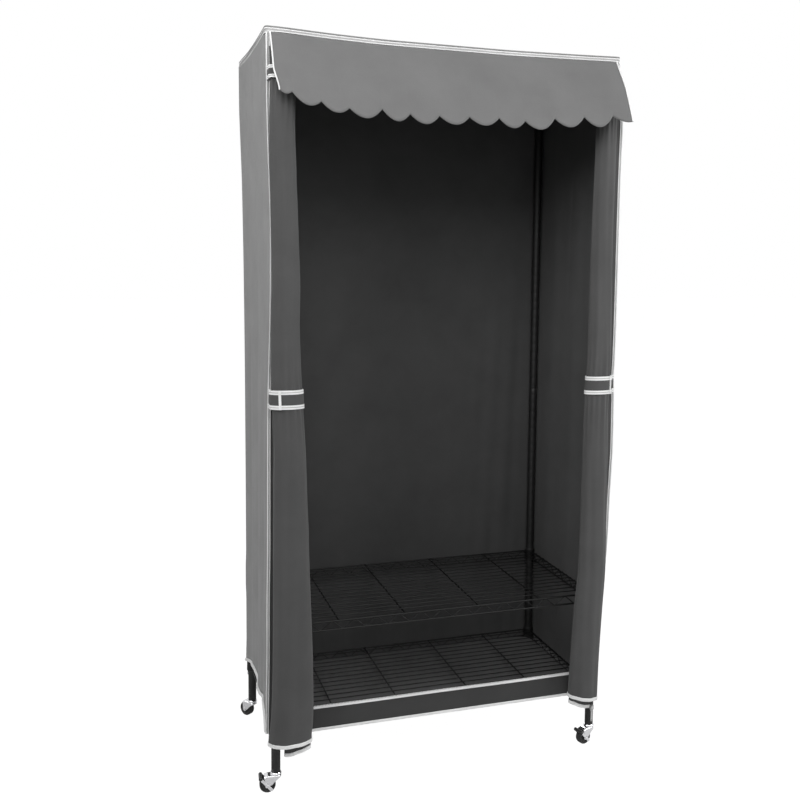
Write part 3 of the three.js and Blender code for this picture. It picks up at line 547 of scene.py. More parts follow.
def hangingRod(sizes):
    # a tube whose flattened ends are hooked over the top shelf's lower side wires
    low, high = (np.array(corner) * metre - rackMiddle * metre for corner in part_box("hanging_rod"))
    bottom, top, reach = low[2], high[2], high[0]
    wall, half, corner = sizes["plate"], sizes["hookWidth"] / 2, sizes["corner"]
    inner, lip = reach - 2 * wall - sizes["throat"], top - 2 * wall - sizes["lip"]
    axis = stacked((-inner, inner), 0, bottom + sizes["radius"])
    outline = np.array([[inner - wall, bottom], [inner, bottom], [inner, top - wall],
                        [reach - wall, top - wall], [reach - wall, lip], [reach, lip],
                        [reach, top - corner], [reach - corner, top], [inner - wall + corner, top],
                        [inner - wall, top - corner]])
    parts = [tube(axis, sizes["radius"], sizes["count"], (0, 1, 0))]
    parts += [plate(outline * [side, 1], -half, half, sizes["bevel"]) for side in (-1, 1)]
    makePiece("hanging_rod_round", parts, [blackTube], ["hanging_rod"], crease=35.0)


hangingRod(rodSizes)
print("hanging rod made")


# casters, each in its own frame: the swivel axis at the origin, the wheel trailing along +x

casterSizes = {
    # the direction that each trails in at rest, in turns from the rack's right
    "turns": {"front_left": 0.481, "front_right": 0.548, "rear_left": 0.353, "rear_right": 0.417},
    "trail": 20.0, "axleHeight": 19.62, "wheelRadius": 19.6, "wheelHalf": 9.0,
    # corners round the turned parts, and points along the fork, down a cheek and round a bend
    "wheelCount": 48, "cupCount": 36, "pinCount": 24, "hornCounts": (64, 12, 7), "armCount": 13,
    # half the wheel's section as (in from the tread, in from the face): hub, dished web, rim, tread
    "wheelFace": [(16.8, 0.4), (12.6, 0), (12.0, 0.6), (11.4, 2.4), (6.0, 2.4), (5.0, 0.9), (4.2, 0.3),
                  (2.4, 0), (1.0, 0.9), (0.25, 2.4), (0, 4.2), (0, 9.0)],
    # rivet head, neck, bearing cup with rolled edges, and the plug in the post, as (radius, height)
    "cup": [(4.4, 39.2), (5.0, 39.8), (5.0, 41.3), (3.5, 41.3), (3.5, 43.5), (11.4, 43.5), (12.9, 44.1),
            (13.6, 45.4), (13.5, 46.4), (12.6, 48.2), (11.6, 49.2), (9.5, 49.5), (9.5, 75.5), (8.6, 76.4)],
    # the fork: its sheet, its nose and rear, its tongue's round tip, and its lower edge as (x, height)
    "plate": 1.6, "forkTop": 43.2, "cheekOuter": 11.6, "bend": 3.6, "bendShare": 0.9,
    "noseX": -13.0, "noseLength": 10.0, "noseHalf": 0.8, "noseFall": 1.2,
    "rearX": 28.0, "rearStart": 15.0, "rearFall": 2.6, "rearEdge": 5.5,
    "tip": 6.5, "tipStart": 5.0, "tipEnd": 1.5, "tipEase": 1.8,
    "cheekFoot": [(-13, 38.5), (-9, 37), (0, 30.5), (13.6, 18.6), (29, 18.6)],
    # the axle's rivet heads as (radius, distance past the metal under them)
    "rivet": [(2.6, 1.0), (3.6, 0.5), (3.8, 0.0), (2.5, 0.0)], "rivetGap": 0.3,
    # the brake's two arms and the pedal between them
    "armInner": 11.9, "armOuter": 13.1, "armHalf": 4.0, "armTaper": 0.6, "armBevel": 0.25, "tail": 17.0,
    "tilt": math.radians(47), "pedalReach": 24.8, "pedalRadius": 4.5, "pedalProud": 0.9, "pedalEase": 1.2}


def hornSurface(sizes):
    # the fork as one bent sheet: u runs back from the nose, v from the left cheek's edge over the top to the
    # right cheek's edge; the cheeks reach down to the axle as a tongue
    lengthwise, down, bent = sizes["hornCounts"]
    x = np.linspace(sizes["noseX"], sizes["rearX"], lengthwise)
    nose = np.clip((sizes["noseX"] + sizes["noseLength"] - x) / sizes["noseLength"], 0, 1)
    half = np.maximum(sizes["cheekOuter"] * np.sqrt(1 - nose ** 2), sizes["noseHalf"])
    rear = np.clip((x - sizes["rearStart"]) / (sizes["rearX"] - sizes["rearStart"]), 0, 1)
    top = sizes["forkTop"] - sizes["rearFall"] * rear ** 2 - sizes["noseFall"] * nose ** 2
    tipDrop = np.sqrt(np.clip(sizes["tip"] ** 2 - (x - sizes["trail"]) ** 2, 0, None))
    foot = np.where(x < sizes["trail"] - sizes["tipStart"], readTable(x, sizes["cheekFoot"]),
                    sizes["axleHeight"] - tipDrop)
    behind = smooth((x - sizes["trail"] - sizes["tip"] + sizes["tipEnd"]) / sizes["tipEase"])
    foot = foot + (top - sizes["rearEdge"] - foot) * behind
    bend = np.minimum(sizes["bend"], half * sizes["bendShare"])
    leg = np.linspace(0, 1, down)[None, :]
    angle = np.linspace(0, np.pi / 2, bent)[1:-1][None, :]
    legZ = foot[:, None] + (top - bend - foot)[:, None] * leg
    legY = half[:, None] + 0 * leg
    arcY = (half - bend)[:, None] + bend[:, None] * np.cos(angle)
    arcZ = (top - bend)[:, None] + bend[:, None] * np.sin(angle)
    flat = np.linspace(1, -1, bent)[None, :] * (half - bend)[:, None]
    y = np.concatenate([legY, arcY, flat, -arcY[:, ::-1], -legY], axis=1)
    z = np.concatenate([legZ, arcZ, top[:, None] + 0 * flat, arcZ[:, ::-1], legZ[:, ::-1]], axis=1)
    return stacked(x[:, None], y, z)


def wheelProfile(sizes):
    # radius and offset along the axle, from one face to the other
    half = [[sizes["wheelRadius"] - a, b - sizes["wheelHalf"]] for a, b in sizes["wheelFace"]]
    return half + [[a, -b] for a, b in half[-2::-1]]


def armOutline(sizes):
    # a strip with a round lower end, tilted about the axle so that it rises to the pedal
    angle = np.linspace(np.pi / 2, 3 * np.pi / 2, sizes["armCount"])
    half, tail, reach, taper = (sizes[k] for k in ("armHalf", "tail", "pedalReach", "armTaper"))
    x = np.concatenate([half - tail + half * np.cos(angle), [reach, reach]])
    z = np.concatenate([half * np.sin(angle), [taper - half, half - taper]])
    cosine, sine = math.cos(sizes["tilt"]), math.sin(sizes["tilt"])
    return np.stack([x * cosine - z * sine, x * sine + z * cosine], axis=-1)


def makeCaster(name, sizes):
    # cup, fork, wheel and the axle's rivet, and on the front two the brake's arms with their pedal
    turn, place = 2 * math.pi * sizes["turns"][name], (*postAxes[name], 0.0)
    axle = np.array([sizes["trail"], sizes["axleHeight"]])
    braked = name.startswith("front")
    cup = turnedBody(sizes["cup"], sizes["cupCount"], place[:2])
    makePiece(f"{name}_caster_cup", [cup], [chromePlate], [f"{name}_caster_stem"], crease=35.0)
    horn = moved(patch(hornSurface(sizes), facing=(0, 0, 1)), turn, place)
    piece = makePiece(f"{name}_fork_horn", [horn], [chromePlate], [f"{name}_caster_fork"],
                      body=f"{name}_caster", crease=60.0)
    thicken(piece, sizes["plate"])
    wheel = turnedBody(wheelProfile(sizes), sizes["wheelCount"], axle, closed=True, axis="y")
    makePiece(f"{name}_wheel_turned", [moved(wheel, turn, place)], [wheelRubber],
              [f"{name}_wheel"], body=f"{name}_wheel_body", crease=35.0)
    reach = (sizes["armOuter"] if braked else sizes["cheekOuter"]) + sizes["rivetGap"]
    head = [[radius, -reach - past] for radius, past in sizes["rivet"]]
    profile = head + [[radius, -along] for radius, along in head[::-1]]
    pin = turnedBody(profile, sizes["pinCount"], axle, axis="y")
    makePiece(f"{name}_axle_rivet", [moved(pin, turn, place)], [chromePlate], [f"{name}_axle"],
              body=f"{name}_caster", crease=30.0)
    if braked:
        parts = [plate(armOutline(sizes) + axle, side * sizes["armInner"], side * sizes["armOuter"],
                       sizes["armBevel"]) for side in (-1, 1)]
        knob = axle + sizes["pedalReach"] * np.array([math.cos(sizes["tilt"]), math.sin(sizes["tilt"])])
        radius, ease = sizes["pedalRadius"], sizes["pedalEase"]
        half = sizes["armOuter"] + sizes["pedalProud"]
        profile = [[radius - ease, -half - ease / 2], [radius, -half + ease / 2], [radius, half - ease / 2],
                   [radius - ease, half + ease / 2]]
        parts.append(turnedBody(profile, sizes["pinCount"], knob, slot=1, axis="y"))
        makePiece(f"{name}_brake_strip", [moved(part, turn, place) for part in parts],
                  [chromePlate, blackPlastic], [f"{name}_brake_lever"], body=f"{name}_brake",
                  crease=30.0)


for name in corners:
    makeCaster(name, casterSizes)
print("casters made")


# cover: side, back and roof cloth

coverSizes = {
    "top": 1794.0, "cloth": 1.4, "seamIn": 1.0, "cornerTop": 7.0, "cornerHem": 20.0,
    # where the cloth's outer face stands along the front and the rear edge of each side, by height
    "frontEdge": {-1: [(150, 450.6), (244, 449), (359, 447.4), (475, 447), (590, 445.2), (706, 444.6),
                       (821, 444.2), (937, 443.4), (1052, 440.5), (1122, 438.4), (1237, 436.4), (1353, 436),
                       (1468, 439), (1560, 441.8), (1660, 444), (1796, 445)],
                  1: [(120, 428), (191, 430), (273, 430.4), (313, 431.4), (354, 434), (395, 438), (436, 442),
                      (477, 445), (517, 448), (557, 449.8), (597, 451.4), (677, 453), (718, 454.8),
                      (757, 456.2), (797, 457.6), (915, 457), (994, 454.6), (1033, 456), (1111, 457),
                      (1457, 457.5), (1633, 459), (1700, 454), (1740, 451), (1796, 446)]},
    "rearEdge": [(120, 439.4), (180, 439.4), (230, 438.2), (350, 438.2), (385, 439.4), (430, 439.4),
                 (480, 438.0), (883, 438.0), (1090, 438.6), (1227, 439.6), (1362, 441), (1496, 443),
                 (1562, 445), (1628, 447.2), (1691, 449), (1796, 449.5)],
    # hem heights from the front corner to the rear one
    "hem": {-1: [(-220, 160), (-212, 176), (-203, 192), (-190, 206), (-175, 213), (-141, 211), (-110, 206),
                 (-83, 203), (-45, 203), (-10, 204), (10, 206), (30, 208), (60, 206), (95, 199), (128, 190),
                 (165, 180), (194, 170), (220, 162)],
            1: [(-220, 148), (-190, 138), (-165, 126), (-150, 121), (220, 121)]},
    "backHem": 117.5, "backHemRise": 5.0,
    # upright folds as (count, sway, how often they sway) and how deep they get
    "sideFolds": (3, 0.6, 3.0), "sideFoldDepth": 5.0, "backFolds": (5, 1.2, 4.0), "backFoldDepth": 2.6,
    # ripples as (height, waves across, waves down, sway, how often it sways)
    "sideRipples": [(0.55, 4.6, 0.0, 0.9, 2.3), (0.385, 7.3, -0.17507, 0.0, 0.0)],
    "backSlack": [(1.1, 16.0, 1.5, 0.0, 0.0)], "backHemRipples": [(1.6, 11.0, -1.2, 0.0, 0.0)],
    # creases as (seed, count, depth, stretch)
    "sideCreases": {-1: (6, 26, 1.1, 2.0), 1: (8, 26, 1.1, 2.0)}, "backCreases": (23, 60, 1.1, 1.3),
    # shares of a panel where the cloth is free, as (start, its ease, end, its ease)
    "sideFree": (0.06, 0.14, 0.9, 0.14), "backFree": (0.05, 0.06, 0.95, 0.06),
    "slackZone": (0.72, 0.1, 0.97, 0.05), "slackFrom": 0.25, "slackEase": 0.3,
    "hemZoneFrom": 0.8, "hemZoneEase": 0.1, "backSink": 1.6, "backLimits": (-4.5, 5.5),
    # shares of a side's width over which it comes round from its front edge: drawn in, and bellied out
    "frontShares": (0.055, 0.8),
    # shares of the fall over which ripples and creases begin, and points across and down each panel
    "rippleEase": 0.05, "creaseEase": 0.1, "backCreaseEase": 0.08,
    "sideGrid": (100, 120), "sideHemGrid": (140, 120), "backGrid": (190, 130),
}
creaseSizes = {"slant": 0.5, "wide": (0.012, 0.03), "long": (0.06, 0.2)}


def creases(u, v, seed, count, depth, stretch=1.0):
    # a sum of short slanting ridges, each a bell across its line and along it, seeded so it repeats
    random = np.random.default_rng(seed)
    total = np.zeros_like(u)
    for _ in range(count):
        cu, cv, turn = random.uniform(0, 1), random.uniform(0, 1), random.normal(0, creaseSizes["slant"])
        wide, long = random.uniform(*creaseSizes["wide"]), random.uniform(*creaseSizes["long"]) * stretch
        height = random.uniform(-1, 1)
        a = (u - cu) * math.cos(turn) + (v - cv) * math.sin(turn)
        b = -(u - cu) * math.sin(turn) + (v - cv) * math.cos(turn)
        total += height * np.exp(-(a / wide) ** 2 - (b / long) ** 2)
    return depth * total


def folds(u, v, count, sway, often):
    # upright folds, 0 at their crests and 1 at their deepest
    return (1 - np.cos(2 * np.pi * count * u + sway * np.sin(often * v))) / 2


def ripples(u, v, rows):
    # a sum of sine waves that run across and down the cloth and sway as they fall
    return sum(height * np.sin(2 * np.pi * (across * u + down * v) + sway * np.sin(often * v))
               for height, across, down, sway, often in rows)


def between(t, start, startEase, end, endEase):
    # 1 between start and end, easing to 0 at both
    return smooth((t - start) / startEase) * smooth((end - t) / endEase)


def cornerRadius(z, sizes):
    # the rear corners are tight under the roof and ease round the posts below it
    down = (sizes["top"] - z) / (sizes["top"] - rackSizes["hem"])
    return sizes["cornerTop"] + (sizes["cornerHem"] - sizes["cornerTop"]) * smooth(down)


def sideSurface(side, grid, sizes):
    # u runs from the front corner to the middle of the rounded rear corner, v from the roof to the hem;
    # the face stands between its two edges' tables, less shallow folds, ripples and creases
    u, v = gridOf(*grid)
    halfY = rackSizes["halfDepth"] - sizes["seamIn"]
    hem = readTable(2 * halfY * u - halfY, sizes["hem"][side])
    z = sizes["top"] + (hem - sizes["top"]) * v
    rear = readTable(z, sizes["rearEdge"])
    front = readTable(z, sizes["frontEdge"][side])
    radius = cornerRadius(z, sizes)
    straight = 2 * halfY - radius
    bow = radius * math.pi / 4
    along = u * (straight + bow)
    angle = np.clip((along - straight) / bow, 0, 1) * math.pi / 4
    flat = rear + (front - rear) * (1 - smooth(u / np.where(front < rear, *sizes["frontShares"])))
    x = np.where(along < straight, flat, rear - radius + radius * np.cos(angle))
    y = np.where(along < straight, along - halfY, halfY - radius + radius * np.sin(angle))
    inward = sizes["sideFoldDepth"] * folds(u, v, *sizes["sideFolds"]) * np.sqrt(v)
    inward = inward + ripples(u, v, sizes["sideRipples"]) * smooth(v / sizes["rippleEase"])
    inward = inward + creases(u, v, *sizes["sideCreases"][side]) * smooth(v / sizes["creaseEase"])
    return stacked(side * (x - inward * between(u, *sizes["sideFree"])), y, z)


def backSurface(sizes):
    # u runs from corner to corner and v from the roof to the hem; soft upright folds deepen downwards,
    # with slack folds towards the right corner, ripples near the hem and creases
    u, v = gridOf(*sizes["backGrid"])
    halfY = rackSizes["halfDepth"] - sizes["seamIn"]
    hem = sizes["backHem"] + sizes["backHemRise"] * (1 - np.abs(2 * u - 1) ** 6)
    z = sizes["top"] + (hem - sizes["top"]) * v
    radius = cornerRadius(z, sizes)
    bow = radius * math.pi / 4
    half = readTable(z, sizes["rearEdge"]) - radius
    along = (2 * u - 1) * (half + bow)
    angle = math.pi / 2 - np.clip((np.abs(along) - half) / bow, 0, 1) * math.pi / 4
    x = np.where(np.abs(along) < half, along, np.sign(along) * (half + radius * np.cos(angle)))
    y = np.where(np.abs(along) < half, halfY, halfY - radius + radius * np.sin(angle))
    free = between(u, *sizes["backFree"])
    slack = between(u, *sizes["slackZone"]) * smooth((v - sizes["slackFrom"]) / sizes["slackEase"])
    nearHem = smooth((v - sizes["hemZoneFrom"]) / sizes["hemZoneEase"])
    inward = sizes["backFoldDepth"] * folds(u, v, *sizes["backFolds"]) * v + sizes["backSink"] * smooth(v)
    inward = inward + nearHem * ripples(u, v, sizes["backHemRipples"])
    inward = inward + creases(u, v, *sizes["backCreases"]) * smooth(v / sizes["backCreaseEase"])
    inward = inward * free + slack * ripples(u, v, sizes["backSlack"])
    return stacked(x, y - np.clip(inward, *sizes["backLimits"]), z)


def clothSheet(name, points, materials, replaces, facing):
    # one panel of the cover, whose inner face takes the second material where there is one
    piece = makePiece(name, [patch(points, facing=facing)], materials, replaces)
    return thicken(piece, coverSizes["cloth"], 1 if len(materials) > 1 else 0)


for name, side in sides.items():
    points = sideSurface(side, coverSizes["sideGrid"], coverSizes)
    piece = clothSheet(f"{name}_side_cloth", points, [cloths["side"], cloths["sideInside"]],
                       [f"cover_{name}_side"], (side, 0, 0))
piece = clothSheet("back_cloth", backSurface(coverSizes), [cloths["skirt"], cloths["inside"]],
                   ["cover_back"], (0, 1, 0))
print("side and back cloth hung")

roofSizes = {
    "sag": 9.0, "ripple": 0.6, "rippleTurns": 11, "creases": (41, 24, 0.7), "grid": (120, 60),
    # the edge's round corners, how far it stands out, and points along a side and round a corner
    "corner": 6.0, "proud": 1.6, "loopCounts": (40, 8),
    # the rolled edge, and the two pipings with how far each stands out
    "roll": 1.9, "piping": 1.6, "pipingOut": 0.5, "lowerPiping": 1.3, "lowerOut": 1.7, "pipingCount": 10,
    # heights of the roof's edge along the front, and what it gains towards the back along the sides
    "front": [(-449, 1804.5), (-413, 1804), (-368, 1802), (-276, 1798), (-133, 1795), (119, 1795),
              (279, 1797.5), (389, 1800), (423, 1801), (449, 1801.5)],
    "sideRise": [(-221, 0), (-177, -1.5), (-84, -4), (-19, -4.5), (51, -3.5), (126, -0.5), (164, 1.5),
                 (221, 3)],
    # depth of the bound band at the front and along the sides, and where it changes
    "band": (13.0, 17.0), "bandChange": 438.0, "bandEase": 8.0,
    # the folded tape's section, as (out from the edge, share of the band's depth)
    "tapeShares": [(-0.6, 1.0), (1.7, 1.0), (0.6, 0.0), (-0.6, 0.0)],
}


def edgeHeight(x, y, sizes):
    # height of the roof's edge over a place on it
    return readTable(x, sizes["front"]) + readTable(y, sizes["sideRise"])


def bandFall(x, sizes):
    # depth of the bound band
    front, side = sizes["band"]
    return front + (side - front) * smooth((np.abs(x) - sizes["bandChange"]) / sizes["bandEase"])


def roofSurface(sizes):
    # a sheet held at its edge that sinks between the posts: the edge's height less a bowl that is deepest
    # in the middle and nothing at the edge
    u, v = gridOf(*sizes["grid"])
    a, b = 2 * u - 1, 2 * v - 1
    halfX, halfY = rackSizes["halfWidth"], rackSizes["halfDepth"]
    sag = sizes["sag"] * (1 - a ** 2) * (1 - b ** 2)
    ripple = sizes["ripple"] * np.sin(sizes["rippleTurns"] * a * b) * (1 - a ** 4) * (1 - b ** 4)
    ripple = ripple + creases(u, v, *sizes["creases"]) * (1 - a ** 6) * (1 - b ** 6)
    edge = edgeHeight(halfX * a, halfY * b, sizes)
    return stacked(halfX * a, halfY * b, edge - sizes["roll"] / 2 - sag + ripple)


def edgeLoop(halfX, halfY, radius, perSide, perCorner):
    # a rectangle with round corners, walked once round: quarter circles joined by even straight steps
    angle = np.linspace(0, np.pi / 2, perCorner)
    walk = []
    for k, (sx, sy) in enumerate(((1, 1), (-1, 1), (-1, -1), (1, -1))):
        turned = angle + k * math.pi / 2
        centre = np.array([sx * (halfX - radius), sy * (halfY - radius)])
        walk.append(centre + radius * np.stack([np.cos(turned), np.sin(turned)], axis=-1))
    dense = []
    share = np.linspace(0, 1, perSide)[1:-1, None]
    for k in range(4):
        dense += [walk[k], walk[k][-1] * (1 - share) + walk[(k + 1) % 4][0] * share]
    return np.concatenate(dense)


def loopOutward(loop):
    # the level direction that points out of the loop at each of its points
    ahead = unit(np.roll(loop, -1, axis=0) - np.roll(loop, 1, axis=0))
    return np.stack([ahead[:, 1], -ahead[:, 0], np.zeros(len(loop))], axis=-1)


piece = clothSheet("roof_cloth", roofSurface(roofSizes), [cloths["side"], cloths["inside"]],
                   ["cover_roof"], (0, 0, 1))


def roofBinding(sizes):
    # under the rolled edge of the roof's cloth: piping, a folded tape round the seam, and finer piping
    plan = edgeLoop(rackSizes["halfWidth"] + sizes["proud"], rackSizes["halfDepth"], sizes["corner"],
                    *sizes["loopCounts"])
    edge = np.concatenate([plan, edgeHeight(*plan.T, sizes)[:, None]], axis=1)
    outward, up = loopOutward(edge), np.array([0, 0, 1.0])
    fall = bandFall(plan[:, 0], sizes)[:, None]
    start, count = 2 * sizes["roll"] + sizes["piping"], sizes["pipingCount"]
    out, share = np.array(sizes["tapeShares"]).T[:, None, :, None]
    band = edge[:, None] + out * outward[:, None] - up * (start + (fall - start)[..., None] * share)
    upper = edge + sizes["pipingOut"] * outward - start * up
    lower = edge + sizes["lowerOut"] * outward - (fall - sizes["lowerPiping"]) * up
    makePiece("roof_edge_binding",
              [tube(edge - sizes["roll"] * up, sizes["roll"], count, up, closed=True, slot=2),
               tube(upper, sizes["piping"], count, up, closed=True),
               tube(lower, sizes["lowerPiping"], count, up, closed=True),
               patch(band, closedU=True, closedV=True, slot=1)],
              [cloths["tape"], cloths["greyTapeAndShade"], cloths["side"]])


roofBinding(roofSizes)
print("roof made")


# valance and skirt

valanceSizes = {
    "seam": 1796.1, "seamGap": 0.4, "fall": 184.0, "lean": 88.0, "left": -436.0, "right": (437.5, 443.0),
    "standoff": 1.6, "footIn": 1.0, "bulge": 4.0, "ripple": 2.0, "ripples": 3.5, "phase": 0.7,
    "roundness": 0.85, "grid": (441, 26),
    # how far the left end is drawn in and curls back, over what width, and from what share of the fall
    "pullIn": 12.0, "pullWidth": 20.0, "curl": 9.0, "curlWidth": 16.0, "lateShare": 0.6,
    "binding": 3.4, "bindingThickness": 3.0, "bindingSteps": 40,
    # the points between the scallops, as (x, height), and how far each scallop hangs below their line
    "cusps": [(-424.8, 1656.5), (-397.7, 1651.8), (-334.9, 1632.9), (-272.8, 1620.7), (-196.3, 1623.5),
              (-131.3, 1616.2), (-61.9, 1615.6), (11.8, 1616.8), (87.2, 1619.1), (152.6, 1615.5),
              (230.1, 1626.0), (311.9, 1635.1), (391.6, 1642.9), (468.0, 1643.0)],
    "scallops": [7.6, 19.8, 18.2, 22.9, 22.7, 22.2, 20.1, 19.6, 21.0, 24.5, 24.0, 27.0, 14.5],
}


def valanceLean(z, sizes):
    # how far the valance stands forward of its seam at a height
    return sizes["lean"] / sizes["fall"] * (sizes["seam"] - z)


def valancePoint(u, v, sizes):
    # a sheet that leans forward as it falls; its foot is a row of scallops, each a half sine wave to the
    # power of its roundness that hangs from the line between two cusps, and its left end is drawn towards
    # the middle
    topRight, footRight = sizes["right"]
    x = sizes["left"] + (topRight + (footRight - topRight) * smooth(2 * v) - sizes["left"]) * u
    late = smooth((v - sizes["lateShare"]) / (1 - sizes["lateShare"]))
    pulled = sizes["pullIn"] * np.exp(-(x - sizes["left"]) / sizes["pullWidth"])
    foot = x + pulled
    places, heights = np.array(sizes["cusps"]).T
    phase = np.interp(foot, places, np.arange(len(places)))
    depth = np.array(sizes["scallops"])[np.clip(phase.astype(int), 0, len(places) - 2)]
    edge = np.interp(foot, places, heights) - depth * np.abs(np.sin(np.pi * phase)) ** sizes["roundness"]
    front = -rackSizes["halfDepth"]
    top = edgeHeight(x, front, roofSizes) - bandFall(0 * x, roofSizes) - sizes["seamGap"]
    forward = valanceLean(edge, sizes) - sizes["footIn"] - sizes["standoff"]
    ripple = sizes["ripple"] * np.sin(2 * math.pi * sizes["ripples"] * u + sizes["phase"]) * v ** 2
    curl = sizes["curl"] * np.exp(-(x - sizes["left"]) / sizes["curlWidth"]) * late
    y = front - sizes["standoff"] - forward * v - sizes["bulge"] * np.sin(np.pi * v) + ripple
    return stacked(x + pulled * late, y + curl, top + (edge - top) * v)


points = valancePoint(*gridOf(*valanceSizes["grid"]), valanceSizes)
piece = clothSheet("valance_cloth", points, [cloths["valance"], cloths["inside"]], ["valance"],
                   (0, -1, 0.3))


tapeSizes = {"count": 12, "squareness": 0.35}


def tapeAlong(path, inward, width, thickness, slot=0):
    # a folded tape that wraps an edge: a flattened ring, as wide as the tape, lying from the edge inward;
    # its thickness follows a sine to a small power, which makes it nearly square
    angle = 2 * np.pi * np.arange(tapeSizes["count"]) / tapeSizes["count"]
    width = np.broadcast_to(width, len(path))[:, None]
    flat = thickness / 2 * np.sign(np.sin(angle)) * np.abs(np.sin(angle)) ** tapeSizes["squareness"]
    profile = stacked(width / 2 * (1 + np.cos(angle)) - thickness / 2, flat, 0)[..., :2]
    return swept(path, profile, inward, slot=slot)


def valanceEdges(sizes):
    # a tape down each end, which lies towards the cloth a hundredth of the width further in
    v = np.linspace(0, 1, sizes["bindingSteps"])
    tapes = []
    for edge, beside in ((0.0, 0.01), (1.0, 0.99)):
        path, inner = (valancePoint(np.full_like(v, u), v, sizes) for u in (edge, beside))
        tapes.append(tapeAlong(path, unit(inner - path), sizes["binding"], sizes["bindingThickness"]))
    return tapes


makePiece("valance_edge_tape", valanceEdges(valanceSizes), [cloths["tape"]])
print("valance hung")

skirtSizes = {"left": -437.0, "right": 423.0, "height": 58.0, "setBack": 0.2, "grid": (180, 12),
              "wave": 1.2, "waves": 2.3, "phase": 0.6, "topShare": 0.2,
              "tape": 7.0, "zipTape": 5.0, "tapeThickness": 3.0, "tapeProud": 0.4,
              "toothPitch": 3.6, "tooth": (2.2, 2.4, 3.4), "toothLift": 2.4}


def skirtSurface(sizes):
    # an upright strip with a slow wave along it, which dies out at its foot
    u, v = gridOf(*sizes["grid"])
    swell = np.sin(np.pi * (sizes["topShare"] + (1 - sizes["topShare"]) * v))
    wave = sizes["wave"] * np.sin(2 * math.pi * sizes["waves"] * u + sizes["phase"])
    return stacked(sizes["left"] + (sizes["right"] - sizes["left"]) * u,
                   wave * swell - rackSizes["halfDepth"] + sizes["setBack"],
                   rackSizes["hem"] + sizes["height"] * (1 - v))


def zipChain(path, across, sizes):
    # one row of small moulded teeth: a box of eight corners, the same at each even step along the path
    run = arcLengths(path[:, None], 0)[:, 0]
    marks = np.arange(sizes["toothPitch"], run[-1] - sizes["toothPitch"], sizes["toothPitch"])
    places, ahead = (np.stack([np.interp(marks + more, run, path[:, k]) for k in range(3)], axis=-1)
                     for more in (0, 1))
    step = unit(ahead - places)
    lift = unit(np.broadcast_to(np.asarray(across, float), step.shape))
    axes = np.stack([step, np.cross(step, lift), lift], axis=1)
    signs = np.array([[-1, -1, -1], [1, -1, -1], [1, 1, -1], [-1, 1, -1],
                      [-1, -1, 1], [1, -1, 1], [1, 1, 1], [-1, 1, 1]])
    points = places[:, None] + (signs * np.array(sizes["tooth"]) / 2) @ axes
    quads = np.array([[0, 3, 2, 1], [4, 5, 6, 7], [0, 1, 5, 4], [1, 2, 6, 5], [2, 3, 7, 6], [3, 0, 4, 7]])
    faces = (np.arange(len(places))[:, None, None] * 8 + quads[None]).reshape(-1, 4)
    return {"points": points.reshape(-1, 3), "faces": faces, "uv": np.zeros((len(faces), 4, 2)), "caps": [],
            "slot": 1}


points = skirtSurface(skirtSizes)
piece = clothSheet("skirt_cloth", points, [cloths["skirt"], cloths["inside"]], ["front_skirt"],
                   (0, -1, 0))
skirtTop, skirtFoot = (points[:, row] - [0, skirtSizes["tapeProud"], 0] for row in (0, -1))
thick = skirtSizes["tapeThickness"]
makePiece("skirt_edge_tape", [tapeAlong(skirtFoot, (0, 0, 1), skirtSizes["tape"], thick),
                              tapeAlong(skirtTop, (0, 0, -1), skirtSizes["zipTape"], thick),
                              zipChain(skirtTop + [0, 0, skirtSizes["toothLift"]], (0, 0, 1), skirtSizes)],
          [cloths["tape"], zipNylon])
print("skirt hung")


# rolled flaps

rollSizes = {
    "top": 1758.3, "foot": 148.0, "turns": {-1: 1.62, 1: 1.66}, "tail": 2 / 11, "cloth": 1.2,
    # width at the top, what the foot adds, and how sharply it comes in; the same for the depth
    "width": {-1: (57.0, 46.0, 1.6), 1: (51.5, 29.0, 1.0)}, "depth": (41.0, 31.0, 3.0),
    "slimShare": {-1: 1.0, 1: 0.84}, "standoff": 2.0, "valanceGap": 2.25, "valanceShare": 0.8,
    # where the roll's outer side stands, by height
    "outer": {-1: [(128, 450), (163, 449), (186, 445), (244, 441), (359, 438), (475, 437.4), (590, 436.8),
                   (706, 436), (821, 435.6), (937, 438), (1052, 440.6), (1122, 441), (1237, 437.4),
                   (1353, 439.4), (1468, 440.2), (1560, 442), (1640, 440), (1700, 437.5), (1758, 437)],
              1: [(149, 412.6), (254, 416.2), (384, 421.4), (514, 430), (645, 430.4), (775, 430.8),
                  (906, 430), (1062, 433.4), (1167, 432.2), (1297, 430.4), (1427, 429.4), (1558, 430.8),
                  (1758, 431)]},
    # how much the roll tightens in all, as a share of its depth, and where its second layer lies flush
    "tightShare": 0.31, "flushShare": 0.8, "flushFrom": 0.75, "flushEase": 0.45,
    # where the tail ends: in from the side's front edge, and behind the rack's front
    "tailIn": 7.0, "tailBehind": 0.4,
    # waves round the roll as (height, count, lean, phase), and the straps' grip as (height, reach)
    "waves": [(0.7, 5, 0.004, 2.0), (0.42, 9, -0.007, 0.0)],
    "grips": [(963, 110), (1700, 90)], "gather": 1.1, "gatherCount": 13, "gatherPhase": 1.3,
    "waveEase": 0.25,
    # how far inner layers and the free end drop at the foot, and how far the hem's inner side is drawn up
    "innerDrop": 18.0, "innerFrom": 0.75, "innerEase": 0.5, "innerReach": 150.0,
    "endDrop": {-1: 10.0, 1: 4.0}, "endFrom": 1.3, "endEase": 0.3,
    "tilt": {-1: 1.0, 1: 13.0}, "tiltPower": 1.6,
    "creases": {-1: (60, 60, 1.3, 2.2), 1: (62, 60, 1.3, 2.2)}, "creaseFrom": -0.05, "creaseEase": 0.2,
    "grid": (260, 150),
    "hemTape": 9.0, "hemThickness": 2.8, "hemLift": 0.3,
}


